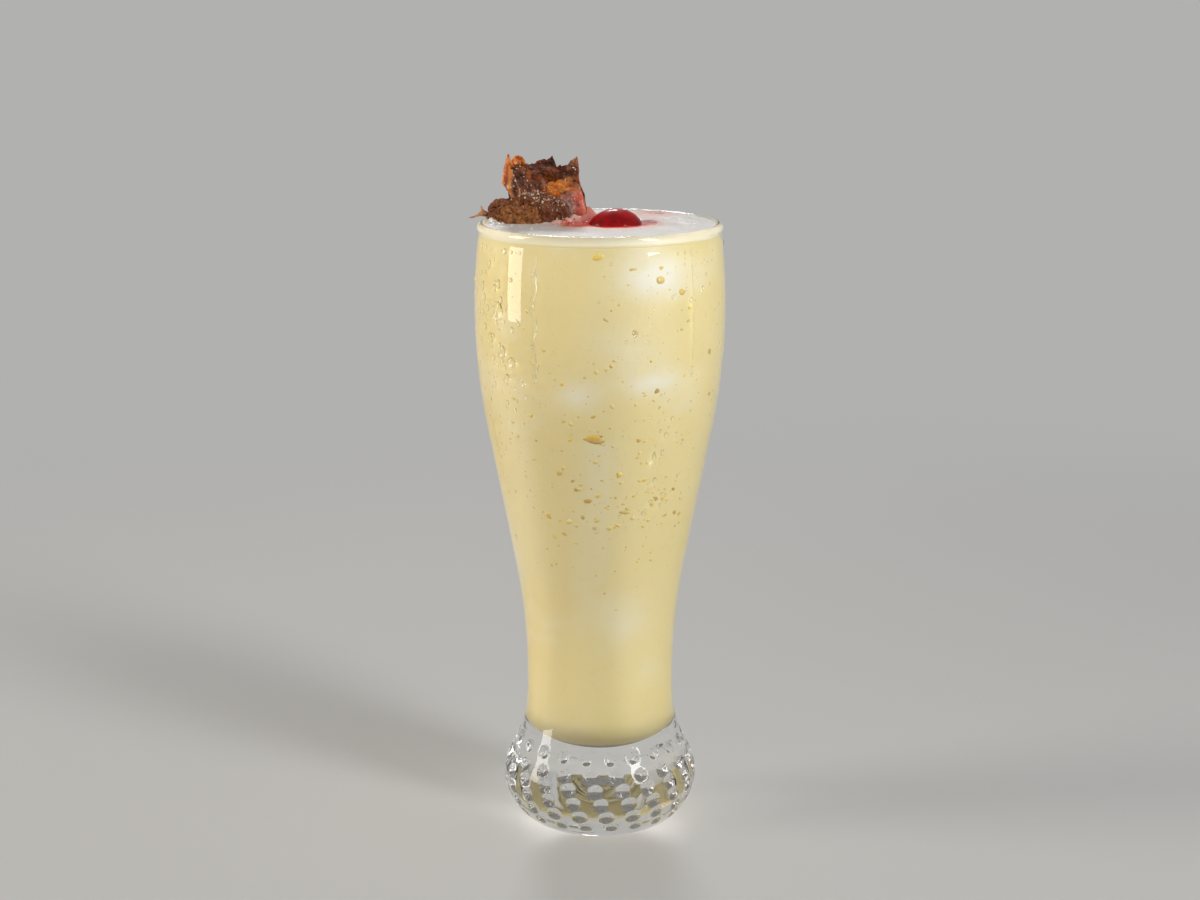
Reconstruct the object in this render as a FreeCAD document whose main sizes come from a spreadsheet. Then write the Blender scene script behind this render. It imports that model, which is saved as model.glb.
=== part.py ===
import FreeCAD, Part
import os
import math
import Sketcher
from FreeCAD import Vector

# Pina colada lemonade: a tall footed tumbler with a dimpled solid base, filled to the brim with a
# creamy drink, a layer of foam, a sunken cherry and a curled piece of dried pineapple.
# Millimetres, +Z up. The origin is the centre of the flat foot that the glass stands on.
# The drinker's side is -Y.

# The driving dimensions: alias, value, what it is.
SIZES = [
    # The glass's outline, from the foot up.
    ("glass_height", 202, "top of the rounded rim"),
    ("rim_radius", 39.8, "outside of the rounded rim"),
    ("rim_bead", 1.45, "radius of the rim's rounded bead"),
    ("belly_radius", 40.85, "widest part of the upper glass"),
    ("belly_height", 174, "height of the widest part"),
    ("belly_round", 200, "radius of the belly's outline"),
    ("flare_round", 203, "radius of the outline where the neck opens out"),
    ("neck_radius", 24.4, "narrowest part"),
    ("neck_top", 50.5, "height where the neck starts to open out"),
    ("neck_round", 44, "radius of the outline below the neck"),
    ("bulge_radius", 32.3, "widest part of the solid base"),
    ("bulge_height", 15, "height of the base's widest part"),
    ("bulge_round", 17.3, "radius of the base's outline"),
    ("foot_round", 2.5, "rounding at the foot's edge"),
    ("wall", 1.9, "thickness of the wall"),
    ("well_floor", 25, "height of the bottom of the drink's well"),
    ("well_round", 30, "radius of the well's floor"),
    ("well_corner", 9, "rounding between the well's floor and its wall"),
    # The dimples pressed into the outside of the base.
    ("dimple_columns", 22, "dimples in each ring"),
    ("dimple_ball", 2.9, "radius of the ball that presses a dimple"),
    ("dimple_depth", 0.85, "how deep the ball goes in"),
    ("dimple_lowest", -34, "angle of the lowest ring, seen from the middle of the bulge"),
    ("dimple_step", 15.5, "angle from ring to ring"),
    ("dimple_twist", 3.3, "how far each ring is turned past the one above"),
    ("dimple_phase", -9.4, "turn of the ring above the bulge, from the drinker's side"),
    ("dimple_collar", 28.5, "height of the ring above the bulge"),
    # The drink and its foam.
    ("foam_bottom", 196.5, "where the foam starts"),
    ("foam_edge", 200.6, "the foam's height at the glass"),
    ("foam_crown", 201.4, "the foam's height in the middle"),
    # The cherry.
    ("cherry_radius", 8.8, "half its thickness"),
    ("cherry_length", 19.6, "from its blunt end to its tip"),
    ("cherry_tip", 1.6, "rounding of the tip"),
    ("cherry_x", 5.8, "middle of its thickest part"),
    ("cherry_y", -2, "middle of its thickest part"),
    ("cherry_height", 197.8, "middle of its thickest part"),
    ("cherry_turn", 12, "how far its tip is turned towards the drinker, degrees"),
    ("cherry_rise", 15, "how far its tip is raised, degrees"),
    # The dried pineapple.
    ("sheet_bottom", 198.6, "the underside of the standing sheet, in the foam"),
    ("sheet_x", -18, "middle of the sheet's curl"),
    ("sheet_y", -7.5, "middle of the sheet's curl"),
    ("sheet_curl", 19.5, "outer radius of the sheet's curl"),
    ("sheet_thickness", 2.6, "thickness of the sheet"),
    ("sheet_height", 27, "height of the tube that the sheet is torn from"),
    ("lump_turn", 25, "how far each lump is turned past the one before, degrees"),
    ("lump_tilt", 12, "how far the lumps lean, degrees"),
    ("splinter_length", 10.5, "length of the stray fibre over the rim"),
    ("splinter_root", 1.5, "thickest radius of the stray fibre"),
    ("splinter_tip", 0.25, "radius at the fibre's tip"),
    ("splinter_height", 204.6, "height of the fibre's root"),
    ("splinter_droop", 7, "how far the fibre leans down, degrees"),
]

# Silhouette of the standing sheet seen by the drinker, as (x, height above the foam's edge):
# up the left side, over two torn tips, a ragged crest and a spike, and down the right side.
SHEET_OUTLINE = [
    (-26.5, -2.0), (-27.6, 6.5), (-30.2, 11.5), (-31.8, 16.0), (-31.2, 20.6), (-29.6, 22.6),
    (-27.7, 20.1), (-27.0, 22.0), (-25.2, 22.0), (-23.4, 19.4), (-21.3, 19.3), (-18.8, 20.9),
    (-15.3, 21.5), (-13.4, 18.7), (-10.9, 19.0), (-7.4, 21.2), (-6.0, 16.0), (-4.7, 12.4),
    (-4.0, 9.0), (-3.8, 5.2), (-3.8, -2.0),
]

# The crumbly lumps at the sheet's foot: x, y and height above the foam's edge, and radius.
LUMPS = [
    ((-32.2, 5.2, 4.3), 3.3), ((-30.0, 3.8, 1.8), 3.7), ((-26.1, 3.0, 1.8), 4.2),
    ((-22.1, 3.1, 1.6), 4.0), ((-28.3, 6.3, 5.2), 3.3), ((-24.0, 6.1, 5.6), 3.4),
    ((-18.3, 4.9, 2.8), 4.3), ((-14.2, 6.3, 2.6), 3.8), ((-10.1, 5.9, 1.8), 3.4),
    ((-7.4, 5.9, 1.4), 2.7),
]

doc = FreeCAD.newDocument("PinaColada")


def make_sheet():
    """The spreadsheet of driving dimensions, and the same numbers by name."""
    cells = doc.addObject("Spreadsheet::Sheet", "Sizes")
    for row, (alias, value, meaning) in enumerate(SIZES, start=1):
        cells.set(f"A{row}", meaning)
        cells.set(f"B{row}", str(value))
        cells.setAlias(f"B{row}", alias)
    doc.recompute()
    return {alias: cells.get(alias) for alias, _, _ in SIZES}


size = make_sheet()


def origin_feature(body, role):
    """The body's own origin plane or axis with that role."""
    return next(item for item in body.Origin.OriginFeatures if item.Role == role)


def new_body(label):
    """An empty PartDesign body."""
    body = doc.addObject("PartDesign::Body", label)
    body.Label = label
    return body


def new_sketch(body, name):
    """A sketch on the body's XZ plane: its x is the radius and its y is the height."""
    sketch = body.newObject("Sketcher::SketchObject", name)
    sketch.AttachmentSupport = [(origin_feature(body, "XZ_Plane"), "")]
    sketch.MapMode = "FlatFace"
    return sketch


def revolve(body, sketch, axis_role):
    """Turn the sketch once round the body's axis."""
    turned = body.newObject("PartDesign::Revolution", sketch.Name + "Turned")
    turned.Profile = sketch
    turned.ReferenceAxis = (origin_feature(body, axis_role), [""])
    turned.Angle = 360
    doc.recompute()


def arc(centre, radius, start, end):
    """The arc from start to end, anticlockwise round centre, to begin a sketch with."""
    first = math.atan2(start[1] - centre[1], start[0] - centre[0])
    last = math.atan2(end[1] - centre[1], end[0] - centre[0])
    circle = Part.Circle(Vector(*centre, 0), Vector(0, 0, 1), radius)
    return Part.ArcOfCircle(circle, first, last if last > first else last + 2 * math.pi)


def line(start, end):
    """The straight line from start to end, to begin a sketch with."""
    return Part.LineSegment(Vector(*start, 0), Vector(*end, 0))


def tie(sketch, kind, *where):
    """Add a constraint with no size."""
    sketch.addConstraint(Sketcher.Constraint(kind, *where))


def drive(sketch, name, kind, where, value, formula):
    """Add a named dimension and bind it to the sheet."""
    number = sketch.addConstraint(Sketcher.Constraint(kind, *where, value))
    sketch.renameConstraint(number, name)
    sketch.setExpression(f"Constraints.{name}", formula)


def place_centre(sketch, geometry, name, point, formulas):
    """Fix an arc's centre at a radius and a height, each bound to a formula."""
    for axis, kind, value, formula in zip("xz", ("DistanceX", "DistanceY"), point, formulas):
        drive(sketch, name + axis, kind, (-1, 1, geometry, 3), value, formula)


def place_belly(sketch, geometry, name):
    """Fix the centre of a belly arc, which is on the far side of the glass's axis."""
    centre = key_points()["belly"]
    drive(sketch, name + "x", "DistanceX", (geometry, 3, -1, 1), -centre[0],
          "Sizes.belly_round - Sizes.belly_radius")
    drive(sketch, name + "z", "DistanceY", (-1, 1, geometry, 3), centre[1], "Sizes.belly_height")


def key_points():
    """Centres and joints of the glass's outline, worked out from the sheet's numbers."""
    bulge = (size["bulge_radius"] - size["bulge_round"], size["bulge_height"])
    waist_x = size["neck_radius"] + size["neck_round"]
    reach = size["bulge_round"] + size["neck_round"]
    waist = (waist_x, bulge[1] + math.sqrt(reach**2 - (waist_x - bulge[0]) ** 2))
    flare = (size["neck_radius"] + size["flare_round"], size["neck_top"])
    belly = (size["belly_radius"] - size["belly_round"], size["belly_height"])
    bead = (size["rim_radius"] - size["rim_bead"], size["glass_height"] - size["rim_bead"])
    apart = math.hypot(flare[0] - belly[0], flare[1] - belly[1])
    along = math.atan2(flare[1] - belly[1], flare[0] - belly[0])
    taper = along + math.acos((size["belly_round"] + size["flare_round"]) / apart)
    return {"bulge": bulge, "waist": waist, "flare": flare, "belly": belly, "bead": bead,
            "taper": taper}


def polar(centre, radius, angle):
    """The point at that radius and angle from centre."""
    return (centre[0] + radius * math.cos(angle), centre[1] + radius * math.sin(angle))


def crossing(big, big_radius, small, small_radius):
    """The lower of the two points where a small circle meets a big one."""
    apart = math.hypot(small[0] - big[0], small[1] - big[1])
    along = math.atan2(small[1] - big[1], small[0] - big[0])
    cosine = (apart**2 + big_radius**2 - small_radius**2) / (2 * apart * big_radius)
    return polar(big, big_radius, along - math.acos(cosine))


def wall_arcs(inset):
    """Start and end of the belly arc's lower end, taper and flare for a wall set in by inset."""
    key = key_points()
    belly_radius = size["belly_round"] - inset
    flare_radius = size["flare_round"] + inset
    belly_low = polar(key["belly"], belly_radius, key["taper"])
    flare_high = polar(key["flare"], flare_radius, key["taper"] + math.pi)
    neck = (size["neck_radius"] - inset, size["neck_top"])
    return belly_low, flare_high, neck


def well_points():
    """Centre of the well's corner, and where the corner meets the floor and the wall."""
    floor = (0.0, size["well_floor"] + size["well_round"])
    inner = size["neck_radius"] - size["wall"]
    x = inner - size["well_corner"]
    reach = size["well_round"] - size["well_corner"]
    corner = (x, floor[1] - math.sqrt(reach**2 - x**2))
    meets = polar(floor, size["well_round"], math.atan2(corner[1] - floor[1], x))
    return floor, corner, meets, (inner, corner[1])


def draw_bore(sketch, top):
    """Draw the inside of the glass up to top, and return the numbers of its first and last arc.

    The pieces run outwards from the axis: floor, corner, neck, flare, taper, belly.
    """
    key = key_points()
    floor, corner, meets, wall_foot = well_points()
    belly_low, flare_high, neck = wall_arcs(size["wall"])
    inner_belly = size["belly_round"] - size["wall"]
    inner_flare = size["flare_round"] + size["wall"]
    bottom = (0.0, size["well_floor"])
    first = sketch.addGeometry(arc(floor, size["well_round"], bottom, meets))
    turn = sketch.addGeometry(arc(corner, size["well_corner"], meets, wall_foot))
    side = sketch.addGeometry(line(wall_foot, neck))
    flare = sketch.addGeometry(arc(key["flare"], inner_flare, flare_high, neck))
    taper = sketch.addGeometry(line(flare_high, belly_low))
    belly = sketch.addGeometry(arc(key["belly"], inner_belly, belly_low, top))
    tie(sketch, "Tangent", first, 2, turn, 1)
    tie(sketch, "Tangent", turn, 2, side, 1)
    tie(sketch, "Tangent", side, 2, flare, 2)
    tie(sketch, "Tangent", flare, 1, taper, 1)
    tie(sketch, "Tangent", taper, 2, belly, 1)
    tie(sketch, "PointOnObject", first, 1, -2)
    tie(sketch, "PointOnObject", first, 3, -2)
    tie(sketch, "Vertical", side)
    drive(sketch, "WellFloor", "DistanceY", (-1, 1, first, 1), bottom[1], "Sizes.well_floor")
    drive(sketch, "WellRound", "Radius", (first,), size["well_round"], "Sizes.well_round")
    drive(sketch, "WellCorner", "Radius", (turn,), size["well_corner"], "Sizes.well_corner")
    drive(sketch, "InnerFlare", "Radius", (flare,), inner_flare, "Sizes.flare_round + Sizes.wall")
    place_centre(sketch, flare, "InnerFlare", key["flare"],
                 ("Sizes.neck_radius + Sizes.flare_round", "Sizes.neck_top"))
    drive(sketch, "InnerBelly", "Radius", (belly,), inner_belly, "Sizes.belly_round - Sizes.wall")
    place_belly(sketch, belly, "InnerBelly")
    return first, belly


def draw_bead(sketch, start, end):
    """Draw a stretch of the rim's rounded bead from start to end."""
    bead = key_points()["bead"]
    rim = sketch.addGeometry(arc(bead, size["rim_bead"], start, end))
    drive(sketch, "Bead", "Radius", (rim,), size["rim_bead"], "Sizes.rim_bead")
    place_centre(sketch, rim, "Bead", bead,
                 ("Sizes.rim_radius - Sizes.rim_bead", "Sizes.glass_height - Sizes.rim_bead"))
    return rim


def draw_outside(sketch, bead_outside):
    """Draw the outside of the glass from its foot up to the bead."""
    key = key_points()
    belly_low, flare_high, neck = wall_arcs(0)
    foot_reach = size["bulge_round"] - size["foot_round"]
    foot_x = key["bulge"][0] + math.sqrt(foot_reach**2 - (key["bulge"][1] - size["foot_round"]) ** 2)
    foot = (foot_x, size["foot_round"])
    heel = math.atan2(foot[1] - key["bulge"][1], foot[0] - key["bulge"][0])
    shoulder = math.atan2(key["waist"][1] - key["bulge"][1], key["waist"][0] - key["bulge"][0])
    foot_edge = polar(key["bulge"], size["bulge_round"], heel)
    joint = polar(key["bulge"], size["bulge_round"], shoulder)
    waist = (size["neck_radius"], key["waist"][1])
    base = sketch.addGeometry(line((0, 0), (foot_x, 0)))
    edge = sketch.addGeometry(arc(foot, size["foot_round"], (foot_x, 0), foot_edge))
    bulge = sketch.addGeometry(arc(key["bulge"], size["bulge_round"], foot_edge, joint))
    under = sketch.addGeometry(arc(key["waist"], size["neck_round"], waist, joint))
    side = sketch.addGeometry(line(waist, neck))
    flare = sketch.addGeometry(arc(key["flare"], size["flare_round"], flare_high, neck))
    taper = sketch.addGeometry(line(flare_high, belly_low))
    belly = sketch.addGeometry(arc(key["belly"], size["belly_round"], belly_low, bead_outside))
    tie(sketch, "Coincident", base, 1, -1, 1)
    tie(sketch, "Horizontal", base)
    tie(sketch, "Tangent", base, 2, edge, 1)
    tie(sketch, "Tangent", edge, 2, bulge, 1)
    tie(sketch, "Tangent", bulge, 2, under, 2)
    tie(sketch, "Tangent", under, 1, side, 1)
    tie(sketch, "Vertical", side)
    tie(sketch, "Tangent", side, 2, flare, 2)
    tie(sketch, "Tangent", flare, 1, taper, 1)
    tie(sketch, "Tangent", taper, 2, belly, 1)
    drive(sketch, "FootRound", "Radius", (edge,), size["foot_round"], "Sizes.foot_round")
    drive(sketch, "Bulge", "Radius", (bulge,), size["bulge_round"], "Sizes.bulge_round")
    place_centre(sketch, bulge, "Bulge", key["bulge"],
                 ("Sizes.bulge_radius - Sizes.bulge_round", "Sizes.bulge_height"))
    drive(sketch, "Under", "Radius", (under,), size["neck_round"], "Sizes.neck_round")
    drive(sketch, "Flare", "Radius", (flare,), size["flare_round"], "Sizes.flare_round")
    place_centre(sketch, flare, "Flare", key["flare"],
                 ("Sizes.neck_radius + Sizes.flare_round", "Sizes.neck_top"))
    drive(sketch, "Belly", "Radius", (belly,), size["belly_round"], "Sizes.belly_round")
    place_belly(sketch, belly, "Belly")
    return base, belly


def press_ring(body, number, radius, height, turn):
    """Press one ring of dimples: a ball at that radius, height and turn, repeated round Z."""
    ball = body.newObject("PartDesign::SubtractiveSphere", f"Dimple{number}")
    ball.AttachmentSupport = [(origin_feature(body, "XY_Plane"), "")]
    ball.MapMode = "FlatFace"
    ball.setExpression("Radius", "Sizes.dimple_ball")
    ball.setExpression(".AttachmentOffset.Base.x", f"({radius}) * sin({turn})")
    ball.setExpression(".AttachmentOffset.Base.y", f"-({radius}) * cos({turn})")
    ball.setExpression(".AttachmentOffset.Base.z", height)
    doc.recompute()
    ring = body.newObject("PartDesign::PolarPattern", f"DimpleRing{number}")
    ring.Originals = [ball]
    ring.Axis = (origin_feature(body, "Z_Axis"), [""])
    ring.Angle = 360
    ring.setExpression("Occurrences", "Sizes.dimple_columns")
    body.Tip = ring
    doc.recompute()


def make_glass():
    """The glass: one turned solid with rings of dimples pressed into its heavy base."""
    key = key_points()
    body = new_body("glass")
    sketch = new_sketch(body, "GlassOutline")
    inner_belly = size["belly_round"] - size["wall"]
    outside = crossing(key["belly"], size["belly_round"], key["bead"], size["rim_bead"])
    inside = crossing(key["belly"], inner_belly, key["bead"], size["rim_bead"])
    base, outer_belly = draw_outside(sketch, outside)
    floor, lining = draw_bore(sketch, inside)
    rim = draw_bead(sketch, outside, inside)
    axis = sketch.addGeometry(line((0, size["well_floor"]), (0, 0)))
    tie(sketch, "Coincident", outer_belly, 2, rim, 1)
    tie(sketch, "Coincident", rim, 2, lining, 2)
    tie(sketch, "Coincident", floor, 1, axis, 1)
    tie(sketch, "Coincident", axis, 2, base, 1)
    revolve(body, sketch, "Z_Axis")
    plain_volume = body.Shape.Volume

    rings = 5
    centre = "(Sizes.bulge_radius - Sizes.bulge_round)"
    reach = "(Sizes.bulge_round + Sizes.dimple_ball - Sizes.dimple_depth)"
    for ring in range(rings):
        angle = f"(Sizes.dimple_lowest + {ring} * Sizes.dimple_step) * 1 deg"
        turn = f"(Sizes.dimple_phase + {rings - ring} * Sizes.dimple_twist) * 1 deg"
        press_ring(body, ring, f"{centre} + {reach} * cos({angle})",
                   f"Sizes.bulge_height + {reach} * sin({angle})", turn)
    # The last ring is above the bulge, where the outline curves the other way.
    waist_x = "(Sizes.neck_radius + Sizes.neck_round)"
    waist_z = (f"(Sizes.bulge_height + sqrt((Sizes.bulge_round + Sizes.neck_round) ^ 2"
               f" - ({waist_x} - {centre}) ^ 2))")
    share = f"((Sizes.dimple_collar - {waist_z}) / Sizes.neck_round)"
    reach = "(Sizes.neck_round - Sizes.dimple_ball + Sizes.dimple_depth)"
    press_ring(body, rings, f"{waist_x} - {reach} * sqrt(1 - {share} ^ 2)",
               f"{waist_z} + {reach} * {share}", "Sizes.dimple_phase * 1 deg")
    if not body.Shape.Volume < plain_volume - 100:
        raise RuntimeError("the dimples cut nothing from the glass")
    return body


def make_drink_fill():
    """What the well holds up to the foam, before the cherry sinks into it."""
    key = key_points()
    level = size["foam_bottom"]
    inner_belly = size["belly_round"] - size["wall"]
    body = new_body("drink_fill")
    sketch = new_sketch(body, "DrinkOutline")
    edge = (key["belly"][0] + math.sqrt(inner_belly**2 - (level - key["belly"][1]) ** 2), level)
    floor, belly = draw_bore(sketch, edge)
    surface = sketch.addGeometry(line(edge, (0, level)))
    axis = sketch.addGeometry(line((0, level), (0, size["well_floor"])))
    tie(sketch, "Coincident", belly, 2, surface, 1)
    tie(sketch, "Horizontal", surface)
    tie(sketch, "Coincident", surface, 2, axis, 1)
    tie(sketch, "Coincident", axis, 2, floor, 1)
    tie(sketch, "Vertical", axis)
    drive(sketch, "Level", "DistanceY", (-1, 1, surface, 2), level, "Sizes.foam_bottom")
    revolve(body, sketch, "Z_Axis")
    return body


def make_foam_fill():
    """The layer of foam up to the bead, gently crowned, before the garnish sinks into it."""
    key = key_points()
    low, edge_height, crown = size["foam_bottom"], size["foam_edge"], size["foam_crown"]
    inner_belly = size["belly_round"] - size["wall"]
    rise = crown - edge_height
    bead_x, bead_z = key["bead"]
    edge = (bead_x - math.sqrt(size["rim_bead"] ** 2 - (edge_height - bead_z) ** 2), edge_height)
    crown_round = (edge[0] ** 2 + rise**2) / (2 * rise)
    corner = (key["belly"][0] + math.sqrt(inner_belly**2 - (low - key["belly"][1]) ** 2), low)
    meets = crossing(key["belly"], inner_belly, key["bead"], size["rim_bead"])
    body = new_body("foam_fill")
    sketch = new_sketch(body, "FoamOutline")
    under = sketch.addGeometry(line((0, low), corner))
    wall = sketch.addGeometry(arc(key["belly"], inner_belly, corner, meets))
    bead = draw_bead(sketch, edge, meets)
    top = sketch.addGeometry(arc((0, crown - crown_round), crown_round, edge, (0, crown)))
    axis = sketch.addGeometry(line((0, crown), (0, low)))
    tie(sketch, "PointOnObject", under, 1, -2)
    tie(sketch, "Horizontal", under)
    tie(sketch, "Coincident", under, 2, wall, 1)
    tie(sketch, "Coincident", wall, 2, bead, 2)
    tie(sketch, "Coincident", bead, 1, top, 1)
    tie(sketch, "Coincident", top, 2, axis, 1)
    tie(sketch, "PointOnObject", top, 3, -2)
    tie(sketch, "Vertical", axis)
    tie(sketch, "Coincident", axis, 2, under, 1)
    drive(sketch, "Wall", "Radius", (wall,), inner_belly, "Sizes.belly_round - Sizes.wall")
    place_belly(sketch, wall, "Wall")
    drive(sketch, "Low", "DistanceY", (-1, 1, under, 1), low, "Sizes.foam_bottom")
    drive(sketch, "Edge", "DistanceY", (-1, 1, top, 1), edge_height, "Sizes.foam_edge")
    drive(sketch, "Crown", "DistanceY", (-1, 1, top, 2), crown, "Sizes.foam_crown")
    revolve(body, sketch, "Z_Axis")
    return body


def make_cherry():
    """The cherry: egg-shaped, lying down, its rounded tip pointing left.

    Its outline is a round end, a long arc down to the tip and a small rounding at the tip,
    turned about its length.
    """
    thick, tip = size["cherry_radius"], size["cherry_tip"]
    tip_x = -(size["cherry_length"] - thick - tip)
    # The long arc's centre is under the thickest part, and it touches the tip's rounding inside.
    slope = (tip_x**2 + (thick - tip) ** 2) / (2 * (thick - tip))
    long_round = slope + tip
    long_centre = (0.0, thick - long_round)
    meets = polar(long_centre, long_round, math.atan2(-long_centre[1], tip_x))
    body = new_body("cherry")
    sketch = new_sketch(body, "CherryOutline")
    blunt = sketch.addGeometry(arc((0, 0), thick, (thick, 0), (0, thick)))
    flank = sketch.addGeometry(arc(long_centre, long_round, (0, thick), meets))
    point = sketch.addGeometry(arc((tip_x, 0), tip, meets, (tip_x - tip, 0)))
    axis = sketch.addGeometry(line((tip_x - tip, 0), (thick, 0)))
    tie(sketch, "Coincident", blunt, 3, -1, 1)
    tie(sketch, "Tangent", blunt, 2, flank, 1)
    tie(sketch, "Tangent", flank, 2, point, 1)
    tie(sketch, "PointOnObject", flank, 3, -2)
    tie(sketch, "PointOnObject", point, 3, -1)
    tie(sketch, "Coincident", point, 2, axis, 1)
    tie(sketch, "Coincident", axis, 2, blunt, 1)
    tie(sketch, "Horizontal", axis)
    tie(sketch, "PointOnObject", axis, 1, -1)
    drive(sketch, "Thick", "Radius", (blunt,), thick, "Sizes.cherry_radius")
    drive(sketch, "Tip", "Radius", (point,), tip, "Sizes.cherry_tip")
    drive(sketch, "Length", "DistanceX", (axis, 1, axis, 2), size["cherry_length"],
          "Sizes.cherry_length")
    revolve(body, sketch, "X_Axis")
    body.setExpression(".Placement.Base.x", "Sizes.cherry_x")
    body.setExpression(".Placement.Base.y", "Sizes.cherry_y")
    body.setExpression(".Placement.Base.z", "Sizes.cherry_height")
    body.setExpression(".Placement.Rotation",
                       "rotation(Sizes.cherry_turn; Sizes.cherry_rise; 0)")
    doc.recompute()
    return body


def make_silhouette():
    """A block with the standing sheet's silhouette, running through from front to back."""
    corners = [Vector(x, 0, size["foam_edge"] + up) for x, up in SHEET_OUTLINE]
    face = Part.Face(Part.makePolygon([*corners, corners[0]]))
    block = doc.addObject("Part::Feature", "silhouette")
    block.Shape = face.extrude(Vector(0, 2 * size["sheet_curl"], 0))
    block.Placement = FreeCAD.Placement(Vector(0, size["sheet_y"], 0), FreeCAD.Rotation())
    return block


def make_curl():
    """The curled wall that the sheet is torn from: a tall tube, open towards the drinker."""
    tubes = []
    for label, radius in (("curl_outer", "Sizes.sheet_curl"),
                          ("curl_inner", "Sizes.sheet_curl - Sizes.sheet_thickness")):
        tube = doc.addObject("Part::Cylinder", label)
        tube.setExpression("Radius", radius)
        tube.setExpression("Height", "Sizes.sheet_height")
        tube.setExpression(".Placement.Base.x", "Sizes.sheet_x")
        tube.setExpression(".Placement.Base.y", "Sizes.sheet_y")
        tube.setExpression(".Placement.Base.z", "Sizes.sheet_bottom")
        tubes.append(tube)
    curl = doc.addObject("Part::Cut", "curl")
    curl.Base, curl.Tool = tubes
    return curl


def make_lump(number, centre, radius):
    """One crumbly lump at the sheet's foot."""
    lump = doc.addObject("Part::Sphere", f"lump_{number}")
    lump.Radius = radius
    middle = Vector(*centre) + Vector(0, 0, size["foam_edge"])
    lie = FreeCAD.Rotation(number * size["lump_turn"], size["lump_tilt"], 0)
    lump.Placement = FreeCAD.Placement(middle, lie)
    return lump


def make_splinter():
    """The thin stray fibre that points left, over the rim."""
    root = LUMPS[0][0]
    fibre = doc.addObject("Part::Cone", "splinter")
    fibre.setExpression("Radius1", "Sizes.splinter_root")
    fibre.setExpression("Radius2", "Sizes.splinter_tip")
    fibre.setExpression("Height", "Sizes.splinter_length")
    lean = FreeCAD.Rotation(Vector(0, 1, 0), -90 - size["splinter_droop"])
    start = Vector(root[0], root[1], size["splinter_height"])
    fibre.Placement = FreeCAD.Placement(start, lean)
    return fibre


def combine(kind, label, base, tools):
    """Fuse each of the tools to base, or cut it away, one after another."""
    shape = base
    for number, tool in enumerate(tools):
        combined = doc.addObject(kind, f"{label}_{number}")
        combined.Base, combined.Tool = shape, tool
        shape = combined
    shape.Label = label
    doc.recompute()
    return shape


def make_dried_pineapple():
    """The dried pineapple: a torn, curled sheet standing on crumbly lumps, with a stray fibre."""
    torn = doc.addObject("Part::Common", "torn_sheet")
    torn.Base, torn.Tool = make_curl(), make_silhouette()
    lumps = [make_lump(number, *lump) for number, lump in enumerate(LUMPS)]
    return combine("Part::Fuse", "dried_pineapple", torn, [*lumps, make_splinter()])


def check_document():
    """Stop if any object of the document failed to compute."""
    doc.recompute()
    for item in doc.Objects:
        if {"Invalid", "Error"} & set(item.State):
            raise RuntimeError(f"{item.Label} failed: {item.State}")
        if item.isDerivedFrom("Sketcher::SketchObject") and item.solve() != 0:
            raise RuntimeError(f"{item.Label} has no solution")


def write_parts(pieces):
    """Check each piece and write it to parts/NODE.step."""
    os.makedirs("parts", exist_ok=True)
    for piece in pieces:
        shape = piece.Shape
        if shape.isNull() or not shape.isValid() or len(shape.Solids) != 1:
            raise RuntimeError(f"{piece.Label} isn't one valid solid")
        box = shape.optimalBoundingBox(False)
        print(f"{piece.Label}: {shape.Volume / 1000:.2f} cm3, x {box.XMin:.1f} to {box.XMax:.1f},"
              f" y {box.YMin:.1f} to {box.YMax:.1f}, z {box.ZMin:.1f} to {box.ZMax:.1f}")
        shape.exportStep(os.path.join("parts", piece.Label + ".step"))


glass = make_glass()
cherry = make_cherry()
dried_pineapple = make_dried_pineapple()
foam = combine("Part::Cut", "foam", make_foam_fill(), [cherry, dried_pineapple])
drink = combine("Part::Cut", "drink", make_drink_fill(), [cherry])
check_document()
write_parts([glass, drink, foam, cherry, dried_pineapple])
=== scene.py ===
import itertools
import math

import bmesh
import bpy
import numpy as np
from bpy.props import FloatProperty, FloatVectorProperty, IntProperty, PointerProperty
from bpy.types import Operator, Panel, PropertyGroup
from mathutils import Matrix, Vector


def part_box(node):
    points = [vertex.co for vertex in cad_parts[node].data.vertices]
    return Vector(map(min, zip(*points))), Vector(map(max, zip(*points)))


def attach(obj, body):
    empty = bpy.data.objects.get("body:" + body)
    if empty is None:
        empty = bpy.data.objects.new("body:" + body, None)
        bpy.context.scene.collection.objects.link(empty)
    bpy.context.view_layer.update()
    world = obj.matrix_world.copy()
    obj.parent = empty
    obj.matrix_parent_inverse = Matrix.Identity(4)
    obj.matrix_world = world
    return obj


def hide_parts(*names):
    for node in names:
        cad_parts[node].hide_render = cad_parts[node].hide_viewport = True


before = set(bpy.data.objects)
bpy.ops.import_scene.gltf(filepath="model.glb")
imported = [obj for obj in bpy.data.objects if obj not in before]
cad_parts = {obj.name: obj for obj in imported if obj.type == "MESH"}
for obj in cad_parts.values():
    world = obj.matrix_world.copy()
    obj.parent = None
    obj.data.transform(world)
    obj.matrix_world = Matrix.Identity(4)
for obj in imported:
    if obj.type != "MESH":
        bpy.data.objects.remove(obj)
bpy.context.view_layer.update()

bl_info = {
    "name": "Pina colada lemonade",
    "version": (1, 0, 0),
    "blender": (4, 5, 0),
    "location": "View3D > Sidebar > Pina Colada",
    "description": "A tall dimpled glass of pina colada lemonade with foam, cherry and pineapple",
    "category": "Add Mesh",
}

BODY = "root"
MM = 0.001

_, GLASS_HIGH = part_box("glass")
DRINK_LOW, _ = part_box("drink")
_, FOAM_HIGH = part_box("foam")
CHERRY_LOW, CHERRY_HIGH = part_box("cherry")
# The height from which the heights on the piece of pineapple are counted.
FOAM_EDGE = 200.6 * MM


# --- Settings --------------------------------------------------------------------------------

def length(name, description, default):
    """A size in metres."""
    return FloatProperty(name=name, description=description, default=default,
                         unit="LENGTH", subtype="DISTANCE", precision=5)


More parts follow.
